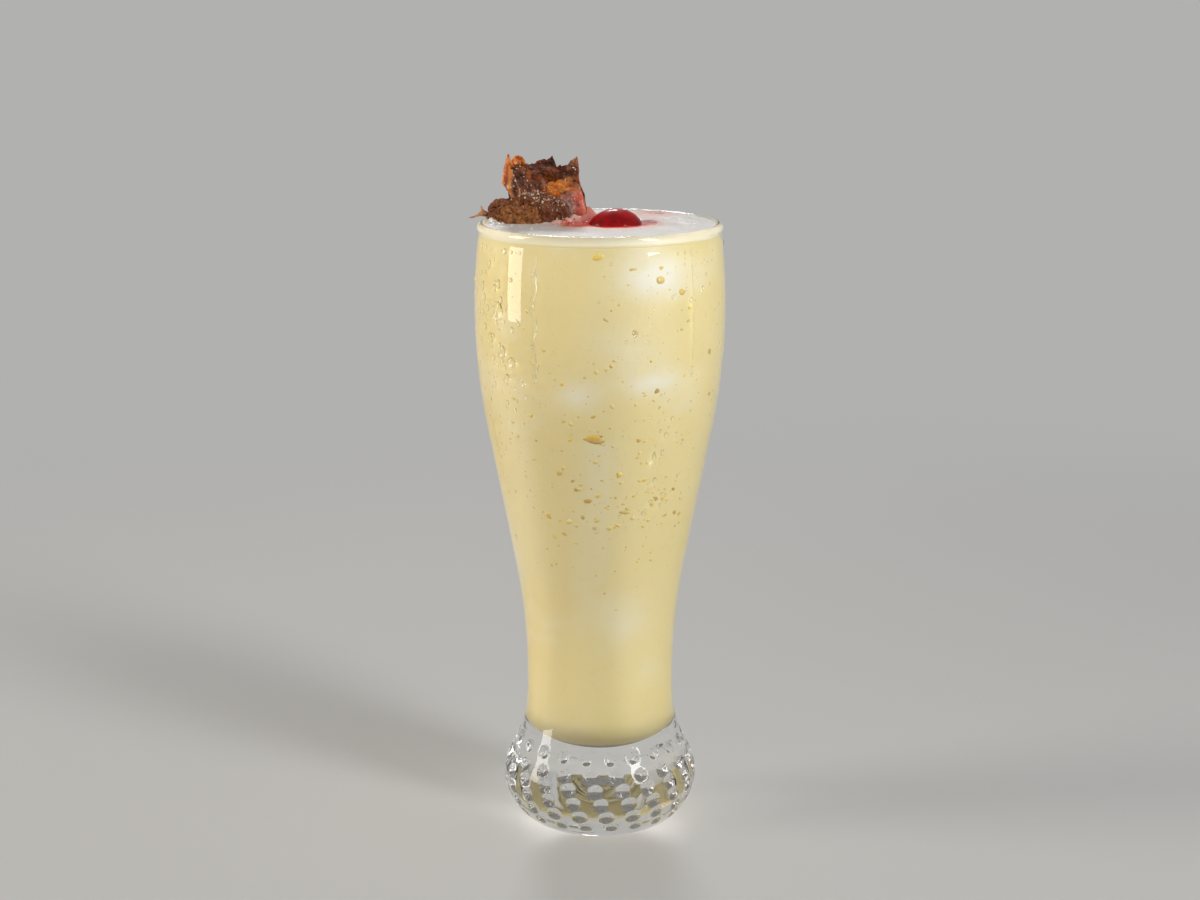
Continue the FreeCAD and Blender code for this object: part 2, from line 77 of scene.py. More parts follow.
def angle(name, description, degrees):
    """An angle, given in degrees."""
    return FloatProperty(name=name, description=description, default=math.radians(degrees),
                         unit="ROTATION", subtype="ANGLE")


def colour(name, description, default):
    """A linear colour."""
    return FloatVectorProperty(name=name, description=description, default=default,
                               subtype="COLOR", size=3, min=0.0, max=1.0)


def count(name, description, default):
    """A whole number."""
    return IntProperty(name=name, description=description, default=default, min=0)


def plain(name, description, default):
    """A plain number."""
    return FloatProperty(name=name, description=description, default=default)


class GlassSettings(PropertyGroup):
    """The tumbler: its outline from the foot up, and the dimples in its base."""
    height: length("Height", "Top of the rounded rim", GLASS_HIGH.z)
    rim_radius: length("Rim radius", "Outside of the rounded rim", 39.8 * MM)
    rim_bead: length("Rim bead", "Radius of the rim's rounded bead", 1.45 * MM)
    belly_radius: length("Belly radius", "Widest part of the upper glass", GLASS_HIGH.x)
    belly_height: length("Belly height", "Height of the widest part", 174 * MM)
    belly_round: length("Belly round", "Radius of the belly's outline", 200 * MM)
    flare_round: length("Flare round", "Radius where the neck opens out", 203 * MM)
    neck_radius: length("Neck radius", "Narrowest part", 24.4 * MM)
    neck_top: length("Neck top", "Height where the neck starts to open out", 50.5 * MM)
    neck_round: length("Neck round", "Radius of the outline below the neck", 44 * MM)
    bulge_radius: length("Bulge radius", "Widest part of the solid base", 32.3 * MM)
    bulge_height: length("Bulge height", "Height of the base's widest part", 15 * MM)
    bulge_round: length("Bulge round", "Radius of the base's outline", 17.3 * MM)
    foot_round: length("Foot round", "Rounding at the foot's edge", 2.5 * MM)
    wall: length("Wall", "Thickness of the wall", 1.9 * MM)
    well_floor: length("Well floor", "Height of the bottom of the well", DRINK_LOW.z)
    well_round: length("Well round", "Radius of the well's floor", 30 * MM)
    well_corner: length("Well corner", "Rounding between the well's floor and wall", 9 * MM)
    dimple_columns: count("Dimples", "Dimples in each ring", 22)
    dimple_ball: length("Dimple ball", "Radius of the ball that presses a dimple", 2.9 * MM)
    dimple_depth: length("Dimple depth", "How deep the ball goes in", 0.85 * MM)
    dimple_edge: length("Dimple edge", "Softness of a dimple's fire-polished edge", 0.07 * MM)
    dimple_lowest: angle("Lowest ring", "Angle of the lowest ring on the bulge", -34)
    dimple_step: angle("Ring step", "Angle from ring to ring", 15.5)
    dimple_twist: angle("Ring twist", "How far each ring turns past the one above", 3.3)
    dimple_rings: count("Rings", "Rings of dimples on the bulge", 5)
    dimple_collar: length("Collar ring", "Height of the ring above the bulge", 28.5 * MM)
    dimple_phase: angle("Ring phase", "Turn of the ring above the bulge", -9.4)
    tint: colour("Glass tint", "Clear glass", (0.985, 0.99, 0.99))


class DrinkSettings(PropertyGroup):
    """The creamy drink and the pulp that shows through the glass."""
    reach: length("Reach", "How far the drink goes into the wall, so that no gap shows", 0.15 * MM)
    body: colour("Drink", "Pale creamy yellow", (0.79, 0.675, 0.345))
    cloud: colour("Clouds", "Paler patches of coconut cream", (0.84, 0.81, 0.69))
    deep: colour("Deep", "Patches richer in juice", (0.75, 0.62, 0.245))
    under: colour("Underside", "The shaded bottom, over the thick base", (0.16, 0.135, 0.085))
    pulp: colour("Pulp", "Golden fruit pulp", (0.84, 0.55, 0.055))
    pulp_dark: colour("Toasted pulp", "The few browner bits", (0.34, 0.11, 0.008))
    pulp_count: count("Pulp bits", "Bits of pulp against the glass", 900)


class FoamSettings(PropertyGroup):
    """The white foam on top, and its red stain."""
    edge: length("Edge height", "The foam's height at the glass", 201.55 * MM)
    crown: length("Crown height", "The foam's height in the middle", FOAM_HIGH.z + 0.2 * MM)
    layer: length("Layer", "Height where the foam meets the drink at the glass", 198.8 * MM)
    white: colour("Foam", "Warm white", (0.76, 0.735, 0.69))
    cream: colour("Cream", "The layer of foam seen through the glass", (0.78, 0.72, 0.53))
    pink: colour("Pink", "Foam with a little syrup in it", (0.86, 0.35, 0.26))
    red: colour("Red", "Foam full of syrup", (0.60, 0.035, 0.030))
    bubble_count: count("Bubbles", "Bubbles that stand on the foam", 260)


class CherrySettings(PropertyGroup):
    """The sunken cherry and the syrup round it."""
    radius: length("Radius", "Half its thickness", 8.8 * MM)
    extent: length("Length", "From the blunt end to the tip", 19.6 * MM)
    tip: length("Tip", "Rounding of the tip", 1.6 * MM)
    turn: angle("Turn", "How far the tip is turned towards the drinker", 12)
    rise: angle("Rise", "How far the tip is raised", 15)
    red: colour("Cherry", "Deep glossy red", (0.40, 0.0030, 0.005))
    dark: colour("Dark cherry", "Darker parts of the skin", (0.20, 0.001, 0.003))
    syrup: colour("Syrup", "Thin red syrup", (0.85, 0.10, 0.08))


class FruitSettings(PropertyGroup):
    """The dried, caramelised piece of pineapple."""
    brown: colour("Brown", "Caramelised flesh", (0.25, 0.064, 0.017))
    # Dark is the colour of scorched edges, and also painted shade in deep folds and hollows.
    dark: colour("Dark", "Burnt edges and deep folds", (0.075, 0.021, 0.009))
    amber: colour("Amber", "Glassy candied flesh", (0.66, 0.20, 0.022))
    gold: colour("Gold", "Thin clear syrup", (1.0, 0.54, 0.13))
    orange: colour("Orange", "Thin tips that let light through", (1.0, 0.31, 0.055))
    salmon: colour("Salmon", "Flesh stained by syrup", (0.80, 0.15, 0.085))
    milky: colour("Milky", "Flesh wetted with pink foam", (0.66, 0.40, 0.35))
    crumb: colour("Crumb", "Dry fibrous lumps", (0.27, 0.076, 0.017))
    tan: colour("Tan", "The paler lump in front", (0.42, 0.16, 0.040))
    russet: colour("Russet", "The redder lumps behind it", (0.21, 0.055, 0.024))
    straw: colour("Straw", "Pale dry fibres", (0.62, 0.34, 0.15))
    crystal_count: count("Crystals", "Sugar crystals on the flesh", 640)
    crumb_count: count("Crumbs", "Loose crumbs", 240)
    fibre_count: count("Fibres", "Short dry fibres", 170)


class DewSettings(PropertyGroup):
    """The condensation outside the glass."""
    sink: length("Sink", "How far a drop's flat side is set into the glass", 0.05 * MM)
    mist_count: count("Mist", "Tiny beads all over the upper glass", 420)


class StageSettings(PropertyGroup):
    """The floor, the lamps and the camera."""
    floor: colour("Floor", "Plain pale floor", (0.62, 0.61, 0.595))
    floor_reach: length("Floor reach", "Half the floor's side", 6.0)
    floor_near: length("Lit floor", "How far out the floor shows its own light", 0.28)
    floor_far: length("Far floor", "From where it is seen as the backdrop", 0.75)
    backdrop: colour("Backdrop", "Plain pale grey behind the object", (0.44, 0.44, 0.435))
    world: colour("World", "Plain grey surroundings", (0.96, 0.98, 1.0))
    world_strength: plain("World strength", "Brightness of the surroundings", 0.24)
    key_power: plain("Key lamp", "Power of the tall soft lamp on the right, in watts", 6.0)
    fill_power: plain("Fill lamp", "Power of the soft lamp on the left, in watts", 5.2)
    back_power: plain("Back lamp", "Power of the soft lamp behind, in watts", 2.5)
    camera_distance: length("Distance", "From the camera to the glass's axis", 0.700)
    camera_height: length("Camera height", "The camera's height", 286.7 * MM)
    camera_pitch: angle("Pitch", "How far the camera looks down", 12.89)
    lens: plain("Lens", "Focal length in millimetres on a 36 mm sensor", 65.2)


# --- Shapes ----------------------------------------------------------------------------------

def hashed(cells, seed):
    """A number from 0 to 1 for each whole-number cell: its coordinates times large primes."""
    cells = cells.astype(np.int64)
    mixed = (cells[..., 0] * 374761393 + cells[..., 1] * 668265263
             + cells[..., 2] * 1440662683 + seed * 974634777) & 0xFFFFFFFF
    mixed = ((mixed ^ (mixed >> 13)) * 1274126177) & 0xFFFFFFFF
    return (mixed ^ (mixed >> 16)) / 0xFFFFFFFF


def noise(points, cell, seed):
    """Smooth noise from -1 to 1: numbers at the corners of a lattice, blended by 3w^2 - 2w^3."""
    scaled = np.asarray(points) / cell
    base = np.floor(scaled)
    part = scaled - base
    part = part * part * (3 - 2 * part)
    total = np.zeros(scaled.shape[:-1])
    for corner in itertools.product((0, 1), repeat=3):
        weight = np.prod(np.where(corner, part, 1 - part), axis=-1)
        total += weight * hashed(base + corner, seed)
    return 2 * total - 1


def layered(points, cell, octaves, seed):
    """Sum of octaves of noise, each half as large and half as strong, from -1 to 1."""
    strengths = [0.5 ** k for k in range(octaves)]
    total = sum(s * noise(points, cell * s, seed + k) for k, s in enumerate(strengths))
    return total / sum(strengths)


def ridged(points, cell, octaves, seed):
    """Noise with sharp crests, from 0 to 1: one less the size of layered noise."""
    return 1 - np.abs(layered(points, cell, octaves, seed))


def grains(points, cell, seed):
    """Rounded grains packed side by side, 1 on top and 0 in the pits between them.

    One less the square of the distance to the nearest of the points strewn one to a cell.
    """
    scaled = np.asarray(points) / cell
    base = np.floor(scaled)
    nearest = np.full(scaled.shape[:-1], 9.0)
    for step in itertools.product((-1, 0, 1), repeat=3):
        home = base + step
        spot = home + np.stack([hashed(home, seed + k) for k in range(3)], -1)
        nearest = np.minimum(nearest, ((scaled - spot) ** 2).sum(-1))
    return np.clip(1 - nearest, 0, 1)


def bell(distance, width):
    """1 at no distance, falling off as exp(-(distance / width)^2)."""
    return np.exp(-(np.asarray(distance) / width) ** 2)


def ramp(value, low, high):
    """0 below low, 1 above high, and smooth between them."""
    part = np.clip((np.asarray(value) - low) / (high - low), 0, 1)
    return part * part * (3 - 2 * part)


def arc_points(centre, radius, start, end, number):
    """Points (radius, height) on an arc: centre + radius (cos t, sin t)."""
    turn = np.linspace(start, end, number)
    return np.stack([centre[0] + radius * np.cos(turn), centre[1] + radius * np.sin(turn)], -1)


def polyline(*stretches):
    """The stretches of an outline in a row, without the joints' doubles."""
    points = np.concatenate(stretches)
    keep = np.ones(len(points), bool)
    keep[1:] = np.hypot(*np.diff(points, axis=0).T) > 1e-7
    return points[keep]


def outline_key(glass):
    """Centres and joint angles of the tumbler's outline, worked out from its sizes."""
    bulge = (glass.bulge_radius - glass.bulge_round, glass.bulge_height)
    waist_x = glass.neck_radius + glass.neck_round
    reach = glass.bulge_round + glass.neck_round
    waist = (waist_x, bulge[1] + math.sqrt(reach ** 2 - (waist_x - bulge[0]) ** 2))
    flare = (glass.neck_radius + glass.flare_round, glass.neck_top)
    belly = (glass.belly_radius - glass.belly_round, glass.belly_height)
    bead = (glass.rim_radius - glass.rim_bead, glass.height - glass.rim_bead)
    apart = math.hypot(flare[0] - belly[0], flare[1] - belly[1])
    along = math.atan2(flare[1] - belly[1], flare[0] - belly[0])
    foot_reach = glass.bulge_round - glass.foot_round
    foot_x = bulge[0] + math.sqrt(foot_reach ** 2 - (bulge[1] - glass.foot_round) ** 2)
    return {
        "bulge": bulge, "waist": waist, "flare": flare, "belly": belly, "bead": bead,
        "taper": along + math.acos((glass.belly_round + glass.flare_round) / apart),
        "shoulder": math.atan2(waist[1] - bulge[1], waist[0] - bulge[0]),
        "foot": (foot_x, glass.foot_round),
        "heel": math.atan2(glass.foot_round - bulge[1], foot_x - bulge[0]),
    }


def meeting_angles(big, big_radius, small, small_radius):
    """Angles at which the bead's circle meets a wall's, seen from each centre, by cosines."""
    apart = math.hypot(small[0] - big[0], small[1] - big[1])
    along = math.atan2(small[1] - big[1], small[0] - big[0])
    cosine = (apart ** 2 + big_radius ** 2 - small_radius ** 2) / (2 * apart * big_radius)
    at_big = along - math.acos(cosine)
    point = (big[0] + big_radius * math.cos(at_big), big[1] + big_radius * math.sin(at_big))
    return at_big, math.atan2(point[1] - small[1], point[0] - small[0])


def outer_outline(glass):
    """The outside from the axis under the foot up to the bead."""
    key = outline_key(glass)
    top, _ = meeting_angles(key["belly"], glass.belly_round, key["bead"], glass.rim_bead)
    base = np.stack([np.linspace(0, key["foot"][0], 5), np.zeros(5)], -1)
    # The lower part of the arc above the bulge carries a ring of dimples, so it is finer there.
    under = arc_points(key["waist"], glass.neck_round, key["shoulder"] + math.pi, math.pi, 200)
    fine = np.unique((199 * np.linspace(0, 1, 34) ** 1.3).astype(int))
    return polyline(
        base,
        arc_points(key["foot"], glass.foot_round, -math.pi / 2, key["heel"], 6),
        arc_points(key["bulge"], glass.bulge_round, key["heel"], key["shoulder"], 56),
        under[fine],
        arc_points(key["flare"], glass.flare_round, math.pi, math.pi + key["taper"], 14),
        arc_points(key["belly"], glass.belly_round, key["taper"], top, 26),
    )


def inner_outline(glass, inset, top, fine=1):
    """The inside from the given angle on the belly's arc down to the axis, set in by inset."""
    key = outline_key(glass)
    spare = glass.wall - inset
    floor = (0.0, glass.well_floor + glass.well_round)
    floor_round = glass.well_round + spare
    corner_round = glass.well_corner + spare
    corner_x = glass.neck_radius - glass.wall - glass.well_corner
    reach = glass.well_round - glass.well_corner
    corner = (corner_x, floor[1] - math.sqrt(reach ** 2 - corner_x ** 2))
    lean = math.atan2(corner[1] - floor[1], corner_x)
    neck = (glass.neck_radius - inset, glass.neck_top)
    foot = (neck[0], corner[1])
    side = np.linspace(neck, foot, 6 * fine)
    return polyline(
        arc_points(key["belly"], glass.belly_round - inset, top, key["taper"], 20 * fine),
        arc_points(key["flare"], glass.flare_round + inset, math.pi + key["taper"], math.pi,
                   12 * fine),
        side,
        arc_points(corner, corner_round, 0, lean, 12),
        arc_points(floor, floor_round, lean, -math.pi / 2, 12),
    )


def tumbler_outline(glass):
    """The whole closed outline: outside, bead and inside, from the axis back to the axis."""
    key = outline_key(glass)
    inner = glass.belly_round - glass.wall
    _, out_angle = meeting_angles(key["belly"], glass.belly_round, key["bead"], glass.rim_bead)
    in_top, in_angle = meeting_angles(key["belly"], inner, key["bead"], glass.rim_bead)
    bead = arc_points(key["bead"], glass.rim_bead, out_angle, in_angle % (2 * math.pi), 18)
    return polyline(outer_outline(glass), bead, inner_outline(glass, glass.wall, in_top))


def full_turn(number):
    """Angles all the way round, from 0."""
    return np.linspace(0, 2 * math.pi, number, endpoint=False)


def turned(outline, columns):
    """Points (r sin a, -r cos a, z), with a counted from the drinker's side to the right."""
    turn = full_turn(columns)
    radius, height = outline[:, :1], outline[:, 1:]
    return np.stack([radius * np.sin(turn), -radius * np.cos(turn),
                     height + np.zeros_like(turn)], -1)


def ring_faces(rows, columns, start=0):
    """Quads of a grid that closes on itself sideways."""
    row = start + np.arange(rows - 1)[:, None] * columns
    here = np.arange(columns)[None, :]
    there = (here + 1) % columns
    quads = np.stack([row + here, row + there, row + columns + there, row + columns + here], -1)
    return quads.reshape(-1, 4)


def closed_rings(rings, low_pole=None, high_pole=None):
    """Vertices and faces of a closed surface: rings (rows, columns, 3) and a point at each end."""
    rows, columns, _ = rings.shape
    low = rings[0].mean(0) if low_pole is None else np.asarray(low_pole)
    high = rings[-1].mean(0) if high_pole is None else np.asarray(high_pole)
    vertices = np.concatenate([rings.reshape(-1, 3), low[None], high[None]])
    here = np.arange(columns)
    there = (here + 1) % columns
    last = (rows - 1) * columns
    bottom = np.stack([np.full(columns, rows * columns), there, here], -1)
    top = np.stack([last + here, last + there, np.full(columns, rows * columns + 1)], -1)
    faces = ring_faces(rows, columns).tolist() + bottom.tolist() + top.tolist()
    return vertices, faces


def capped(rings):
    """A closed surface whose first and last rings are points on the axis."""
    return closed_rings(rings[1:-1], rings[0, 0], rings[-1, 0])


def joined(parts):
    """Several (vertices, faces) as one."""
    vertices, faces, start = [], [], 0
    for points, quads in parts:
        vertices.append(points)
        faces += [[index + start for index in face] for face in quads]
        start += len(points)
    return np.concatenate(vertices), faces


def unit_ball(subdivisions):
    """Vertices and triangles of a ball of radius 1."""
    shape = bmesh.new()
    bmesh.ops.create_icosphere(shape, subdivisions=subdivisions, radius=1)
    shape.verts.ensure_lookup_table()
    points = np.array([v.co for v in shape.verts])
    triangles = np.array([[v.index for v in f.verts] for f in shape.faces])
    shape.free()
    return points, triangles


def scattered(ball, centres, axes):
    """A copy of ball at each centre, its x, y and z carried by the rows of each (3, 3) of axes."""
    points, triangles = ball
    vertices = np.einsum("vk,nkj->nvj", points, axes) + centres[:, None, :]
    starts = np.arange(len(centres))[:, None, None] * len(points)
    return vertices.reshape(-1, 3), (triangles[None] + starts).reshape(-1, 3).tolist()


def uneven_balls(ball, centres, axes, unevenness):
    """Scattered balls whose points stand off their centres by 1 + unevenness(points)."""
    vertices, faces = scattered(ball, centres, axes)
    middle = np.repeat(centres, len(ball[0]), axis=0)
    return middle + (vertices - middle) * (1 + unevenness(vertices))[:, None], faces


def gathered(rng, areas, number):
    """Rows of areas drawn at random, each as often as the share in its last column."""
    areas = np.array(areas)
    return areas[rng.choice(len(areas), number, p=areas[:, -1] / areas[:, -1].sum())]


def random_turns(rng, number):
    """Random rotations, as matrices whose rows are the axes."""
    q = rng.normal(size=(number, 4))
    w, x, y, z = (q / np.linalg.norm(q, axis=1, keepdims=True)).T
    return np.stack([
        np.stack([1 - 2 * (y * y + z * z), 2 * (x * y - z * w), 2 * (x * z + y * w)], -1),
        np.stack([2 * (x * y + z * w), 1 - 2 * (x * x + z * z), 2 * (y * z - x * w)], -1),
        np.stack([2 * (x * z - y * w), 2 * (y * z + x * w), 1 - 2 * (x * x + y * y)], -1),
    ], 1)


def tumbled(rng, size, low, high):
    """Axes of pieces of each size, turned at random, each axis from low to high times as long."""
    axes = random_turns(rng, len(size)) * size[:, None, None]
    return axes * rng.uniform(low, high, (len(size), 3, 1))


def above_foam(points):
    """Places given in millimetres above the height of the foam's edge."""
    return np.asarray(points) * MM + (0, 0, FOAM_EDGE)


def tube(path, radii, sides):
    """A closed tube along path (n, 3): ring = point + radius (side cos t + up sin t)."""
    tangent = np.gradient(path, axis=0)
    tangent /= np.linalg.norm(tangent, axis=1, keepdims=True)
    side = np.cross(tangent, (0.31, 0.22, 0.92))
    side /= np.linalg.norm(side, axis=1, keepdims=True)
    up = np.cross(tangent, side)
    turn = full_turn(sides)[None, :, None]
    rings = path[:, None] + np.asarray(radii)[:, None, None] * (
        side[:, None] * np.cos(turn) + up[:, None] * np.sin(turn))
    return closed_rings(rings, path[0], path[-1])


def wall_frame(glass, turn, height):
    """Point, outward normal, sideways and upward directions on the outside of the glass."""
    outline = outer_outline(glass)
    outline = outline[outline[:, 1] > glass.bulge_height]
    radius = np.interp(height, outline[:, 1], outline[:, 0])
    slope = np.interp(height, outline[:, 1], np.gradient(outline[:, 0], outline[:, 1]))
    flat = np.sqrt(1 + slope ** 2)
    out = np.stack([np.sin(turn), -np.cos(turn), -slope], -1) / flat[..., None]
    side = np.stack([np.cos(turn), np.sin(turn), np.zeros_like(turn)], -1)
    up = np.stack([slope * np.sin(turn), -slope * np.cos(turn), np.ones_like(turn)], -1)
    up /= flat[..., None]
    point = np.stack([radius * np.sin(turn), -radius * np.cos(turn), height], -1)
    return point, out, side, up


# Foam that climbs what stands in it: x, y, rise and width in millimetres.
FOAM_MOUNDS = [
    (-4.6, 9.4, 3.8, 2.8), (-1.6, 10.0, 1.3, 3.6), (-8.6, 3.8, 2.2, 1.8), (-5.4, 4.6, 1.3, 2.4),
    (-35.0, 0.6, 1.9, 1.7), (-33.4, -2.2, 0.8, 1.9), (-14.0, 1.2, 1.1, 1.7),
    (-17.6, -0.6, 0.6, 1.4), (-10.8, 1.4, 1.6, 1.4), (-36.0, 4.6, 1.3, 1.8),
]


def foam_height(x, y, foam):
    """Height of the foam: a crown that falls as 1 - (r / R)^2, soft swells and bell mounds."""
    edge_radius = FOAM_HIGH.x
    radius = np.hypot(x, y)
    flat = np.stack([x, y, np.zeros_like(x)], -1)
    height = foam.edge + (foam.crown - foam.edge) * (1 - (radius / edge_radius) ** 2)
    height = height + 0.28 * MM * layered(flat, 9 * MM, 3, 5)
    height = height + 0.07 * MM * layered(flat, 1.6 * MM, 2, 9)
    for mound_x, mound_y, rise, width in FOAM_MOUNDS:
        away = np.hypot(x - mound_x * MM, y - mound_y * MM)
        height = height + rise * MM * bell(away, width * MM)
    return height


# --- Pieces ----------------------------------------------------------------------------------

def add_piece(name, shape, material, replaced=None, attributes=None, merge=False):
    """Make a smooth piece that rides on the object's body."""
    vertices, faces = shape
    mesh = bpy.data.meshes.new(name)
    mesh.from_pydata(np.asarray(vertices, float).tolist(), [], faces)
    for key, values in (attributes or {}).items():
        layer = mesh.attributes.new(key, "FLOAT", "POINT")
        layer.data.foreach_set("value", np.asarray(values, np.float32).ravel())
    if merge:
        whole = bmesh.new()
        whole.from_mesh(mesh)
        bmesh.ops.remove_doubles(whole, verts=whole.verts, dist=1e-6)
        bmesh.ops.dissolve_degenerate(whole, edges=whole.edges, dist=1e-7)
        bmesh.ops.recalc_face_normals(whole, faces=whole.faces)
        whole.to_mesh(mesh)
        whole.free()
    mesh.polygons.foreach_set("use_smooth", np.ones(len(mesh.polygons), bool))
    mesh.update()
    mesh.materials.append(material)
    piece = bpy.data.objects.new(name, mesh)
    bpy.context.scene.collection.objects.link(piece)
    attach(piece, BODY)
    if replaced:
        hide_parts(replaced)
    return piece


# --- Materials -------------------------------------------------------------------------------

def feed(tree, socket, value):
    """Give a socket a plain number or colour, or link another node's output to it."""
    if isinstance(value, bpy.types.NodeSocket):
        tree.links.new(value, socket)
    else:
        socket.default_value = (*value, 1.0) if socket.type == "RGBA" else value


def fill(tree, made, values):
    """Give a node its settings and its inputs, with _ for each space in an input's name."""
    for key, value in values.items():
        socket = made.inputs.get(key.replace("_", " "))
        if socket is None:
            setattr(made, key, value)
        else:
            feed(tree, socket, value)


def add_node(tree, kind, **values):
    """A new node with its settings and inputs."""
    made = tree.nodes.new("ShaderNode" + kind)
    fill(tree, made, values)
    return made


def add_pair(tree, kind, first, second, start=0, **values):
    """A new node with two inputs in a row, from the given one, which share a name."""
    made = add_node(tree, kind, **values)
    feed(tree, made.inputs[start], first)
    feed(tree, made.inputs[start + 1], second)
    return made


def new_group(name, **numbers):
    """A group with number inputs and one mask, with its inputs and the mask's socket."""
    group = bpy.data.node_groups.new(name, "ShaderNodeTree")
    for key, value in numbers.items():
        socket = group.interface.new_socket(key, in_out="INPUT", socket_type="NodeSocketFloat")
        socket.default_value = value
    group.interface.new_socket("Mask", in_out="OUTPUT", socket_type="NodeSocketFloat")
    start = group.nodes.new("NodeGroupInput")
    return group, start.outputs, group.nodes.new("NodeGroupOutput").inputs["Mask"]


def patches_group():
    """Soft patches: noise on object coordinates, squeezed between low and high."""
    if "Patches" in bpy.data.node_groups:
        return bpy.data.node_groups["Patches"]
    group, given, mask = new_group("Patches", Scale=100.0, Detail=3.0, Low=0.4, High=0.6,
                                   Stretch=1.0)
    scale = add_node(group, "CombineXYZ", X=1.0, Y=1.0, Z=given["Stretch"])
    place = add_pair(group, "VectorMath", add_node(group, "TexCoord").outputs["Object"],
                     scale.outputs[0], operation="MULTIPLY")
    field = add_node(group, "TexNoise", Vector=place.outputs[0], Scale=given["Scale"],
                     Detail=given["Detail"])
    squeeze = add_node(group, "MapRange", interpolation_type="SMOOTHSTEP",
                       Value=field.outputs[0], From_Min=given["Low"], From_Max=given["High"])
    feed(group, mask, squeeze.outputs["Result"])
    return group


def dots_group():
    """Scattered dots: cells on object coordinates, 1 inside the size and 0 outside it."""
    if "Dots" in bpy.data.node_groups:
        return bpy.data.node_groups["Dots"]
    group, given, mask = new_group("Dots", Scale=400.0, Size=0.25, Softness=0.1)
    cells = add_node(group, "TexVoronoi", Vector=add_node(group, "TexCoord").outputs["Object"],
                     Scale=given["Scale"])
    far = add_pair(group, "Math", given["Size"], given["Softness"], operation="ADD")
    squeeze = add_node(group, "MapRange", interpolation_type="SMOOTHSTEP", To_Min=1.0,
                       To_Max=0.0, Value=cells.outputs["Distance"], From_Min=given["Size"],
                       From_Max=far.outputs[0])
    feed(group, mask, squeeze.outputs["Result"])
    return group


def patches(tree, scale, low, high, detail=3.0, stretch=1.0):
    """The patches mask with its own values."""
    return add_node(tree, "Group", node_tree=patches_group(), Scale=scale, Detail=detail,
                    Low=low, High=high, Stretch=stretch).outputs["Mask"]


def dots(tree, scale, size, softness):
    """The dots mask with its own values."""
    return add_node(tree, "Group", node_tree=dots_group(), Scale=scale, Size=size,
                    Softness=softness).outputs["Mask"]


def attribute(tree, name):
    """A number kept on the piece's points."""
    return add_node(tree, "Attribute", attribute_name=name).outputs["Fac"]


def blend(tree, mask, first, second):
    """Colour first where mask is 0 and second where it is 1."""
    return add_pair(tree, "Mix", first, second, 6, data_type="RGBA", Factor=mask).outputs[2]


def arithmetic(tree, operation, first, second):
    """A sum, product or other combination of masks and numbers, kept from 0 to 1."""
    return add_pair(tree, "Math", first, second, operation=operation, use_clamp=True).outputs[0]


def times(tree, first, second):
    """The product of masks and numbers, kept from 0 to 1."""
    return arithmetic(tree, "MULTIPLY", first, second)


def spread(tree, mask, low, high):
    """low where mask is 0 and high where it is 1."""
    return add_node(tree, "MapRange", To_Min=low, To_Max=high, Value=mask).outputs["Result"]


def bump(tree, height, strength, distance):
    """The normal of fine relief from a height mask."""
    return add_node(tree, "Bump", Strength=strength, Distance=distance,
                    Height=height).outputs["Normal"]


def scaled(colour_value, factor):
    """A colour made darker or lighter."""
    return [factor * part for part in colour_value]


def soft(weight, *radius):
    """Light that goes under the skin: its weight, and how far by red, green and blue in mm."""
    return {"Subsurface_Weight": weight, "Subsurface_Radius": [r * MM for r in radius],
            "Subsurface_Scale": 1.0}


def new_material(name):
    """A material and its tree, with an empty Principled surface."""
    material = bpy.data.materials.new(name)
    material.use_nodes = True
    return material, material.node_tree


def mix_surface(tree, mask, first, second, end="Material Output"):
    """Show shader first where mask is 0 and second where it is 1."""
    mixed = add_pair(tree, "MixShader", first.outputs[0], second.outputs[0], 1, Fac=mask)
    feed(tree, tree.nodes[end].inputs["Surface"], mixed.outputs[0])


def finished(material, clear=False, **values):
    """The material with its surface filled in.

    Through a clear one the rays from lamps pass, so that what is behind it is lit.
    """
    tree = material.node_tree
    surface = tree.nodes["Principled BSDF"]
    fill(tree, surface, values)
    if clear:
        path = add_node(tree, "LightPath")
        mix_surface(tree, path.outputs["Is Shadow Ray"], surface,
                    add_node(tree, "BsdfTransparent"))
    return material


def glass_material(glass):
    """Clear polished glass, faintly hazed in patches by the cold."""
    material, tree = new_material("Clear glass")
    return finished(material, clear=True, Base_Color=glass.tint, Transmission_Weight=1.0,
                    IOR=1.5, Roughness=spread(tree, patches(tree, 60.0, 0.45, 0.75), 0.0, 0.035))


def water_material():
    """Clear water drops."""
    material, tree = new_material("Condensation")
    return finished(material, clear=True, Base_Color=(0.98, 0.99, 1.0), Transmission_Weight=1.0,
                    IOR=1.33, Roughness=spread(tree, patches(tree, 900.0, 0.4, 0.6), 0.0, 0.02))


def drink_material(drink):
    """Creamy drink: paler clouds of cream, patches and fine grains richer in juice, and painted
    shade on the underside over the thick base.
    """
    material, tree = new_material("Creamy drink")
    rich = blend(tree, patches(tree, 22.0, 0.46, 0.74, 3.0, 0.5), drink.body, drink.deep)
    grainy = times(tree, patches(tree, 330.0, 0.55, 0.75), 0.35)
    rich = blend(tree, grainy, rich, drink.deep)
    cloudy = blend(tree, attribute(tree, "cloudy"), rich, drink.cloud)
    return finished(material, **soft(0.12, 3, 2.2, 1.2),
                    Base_Color=blend(tree, attribute(tree, "under"), cloudy, drink.under),
                    Roughness=spread(tree, patches(tree, 240.0, 0.4, 0.6), 0.38, 0.52),
                    Normal=bump(tree, patches(tree, 500.0, 0.3, 0.7), 0.15, 0.1 * MM))


def pulp_material(drink):
    """Golden pulp, some of it toasted brown."""
    material, tree = new_material("Fruit pulp")
    base = blend(tree, patches(tree, 420.0, 0.35, 0.65), drink.pulp, drink.deep)
    base = blend(tree, attribute(tree, "ripe"), drink.deep, base)
    return finished(material,
                    Base_Color=blend(tree, attribute(tree, "toasted"), base, drink.pulp_dark),
                    Roughness=spread(tree, patches(tree, 700.0, 0.4, 0.6), 0.3, 0.5))


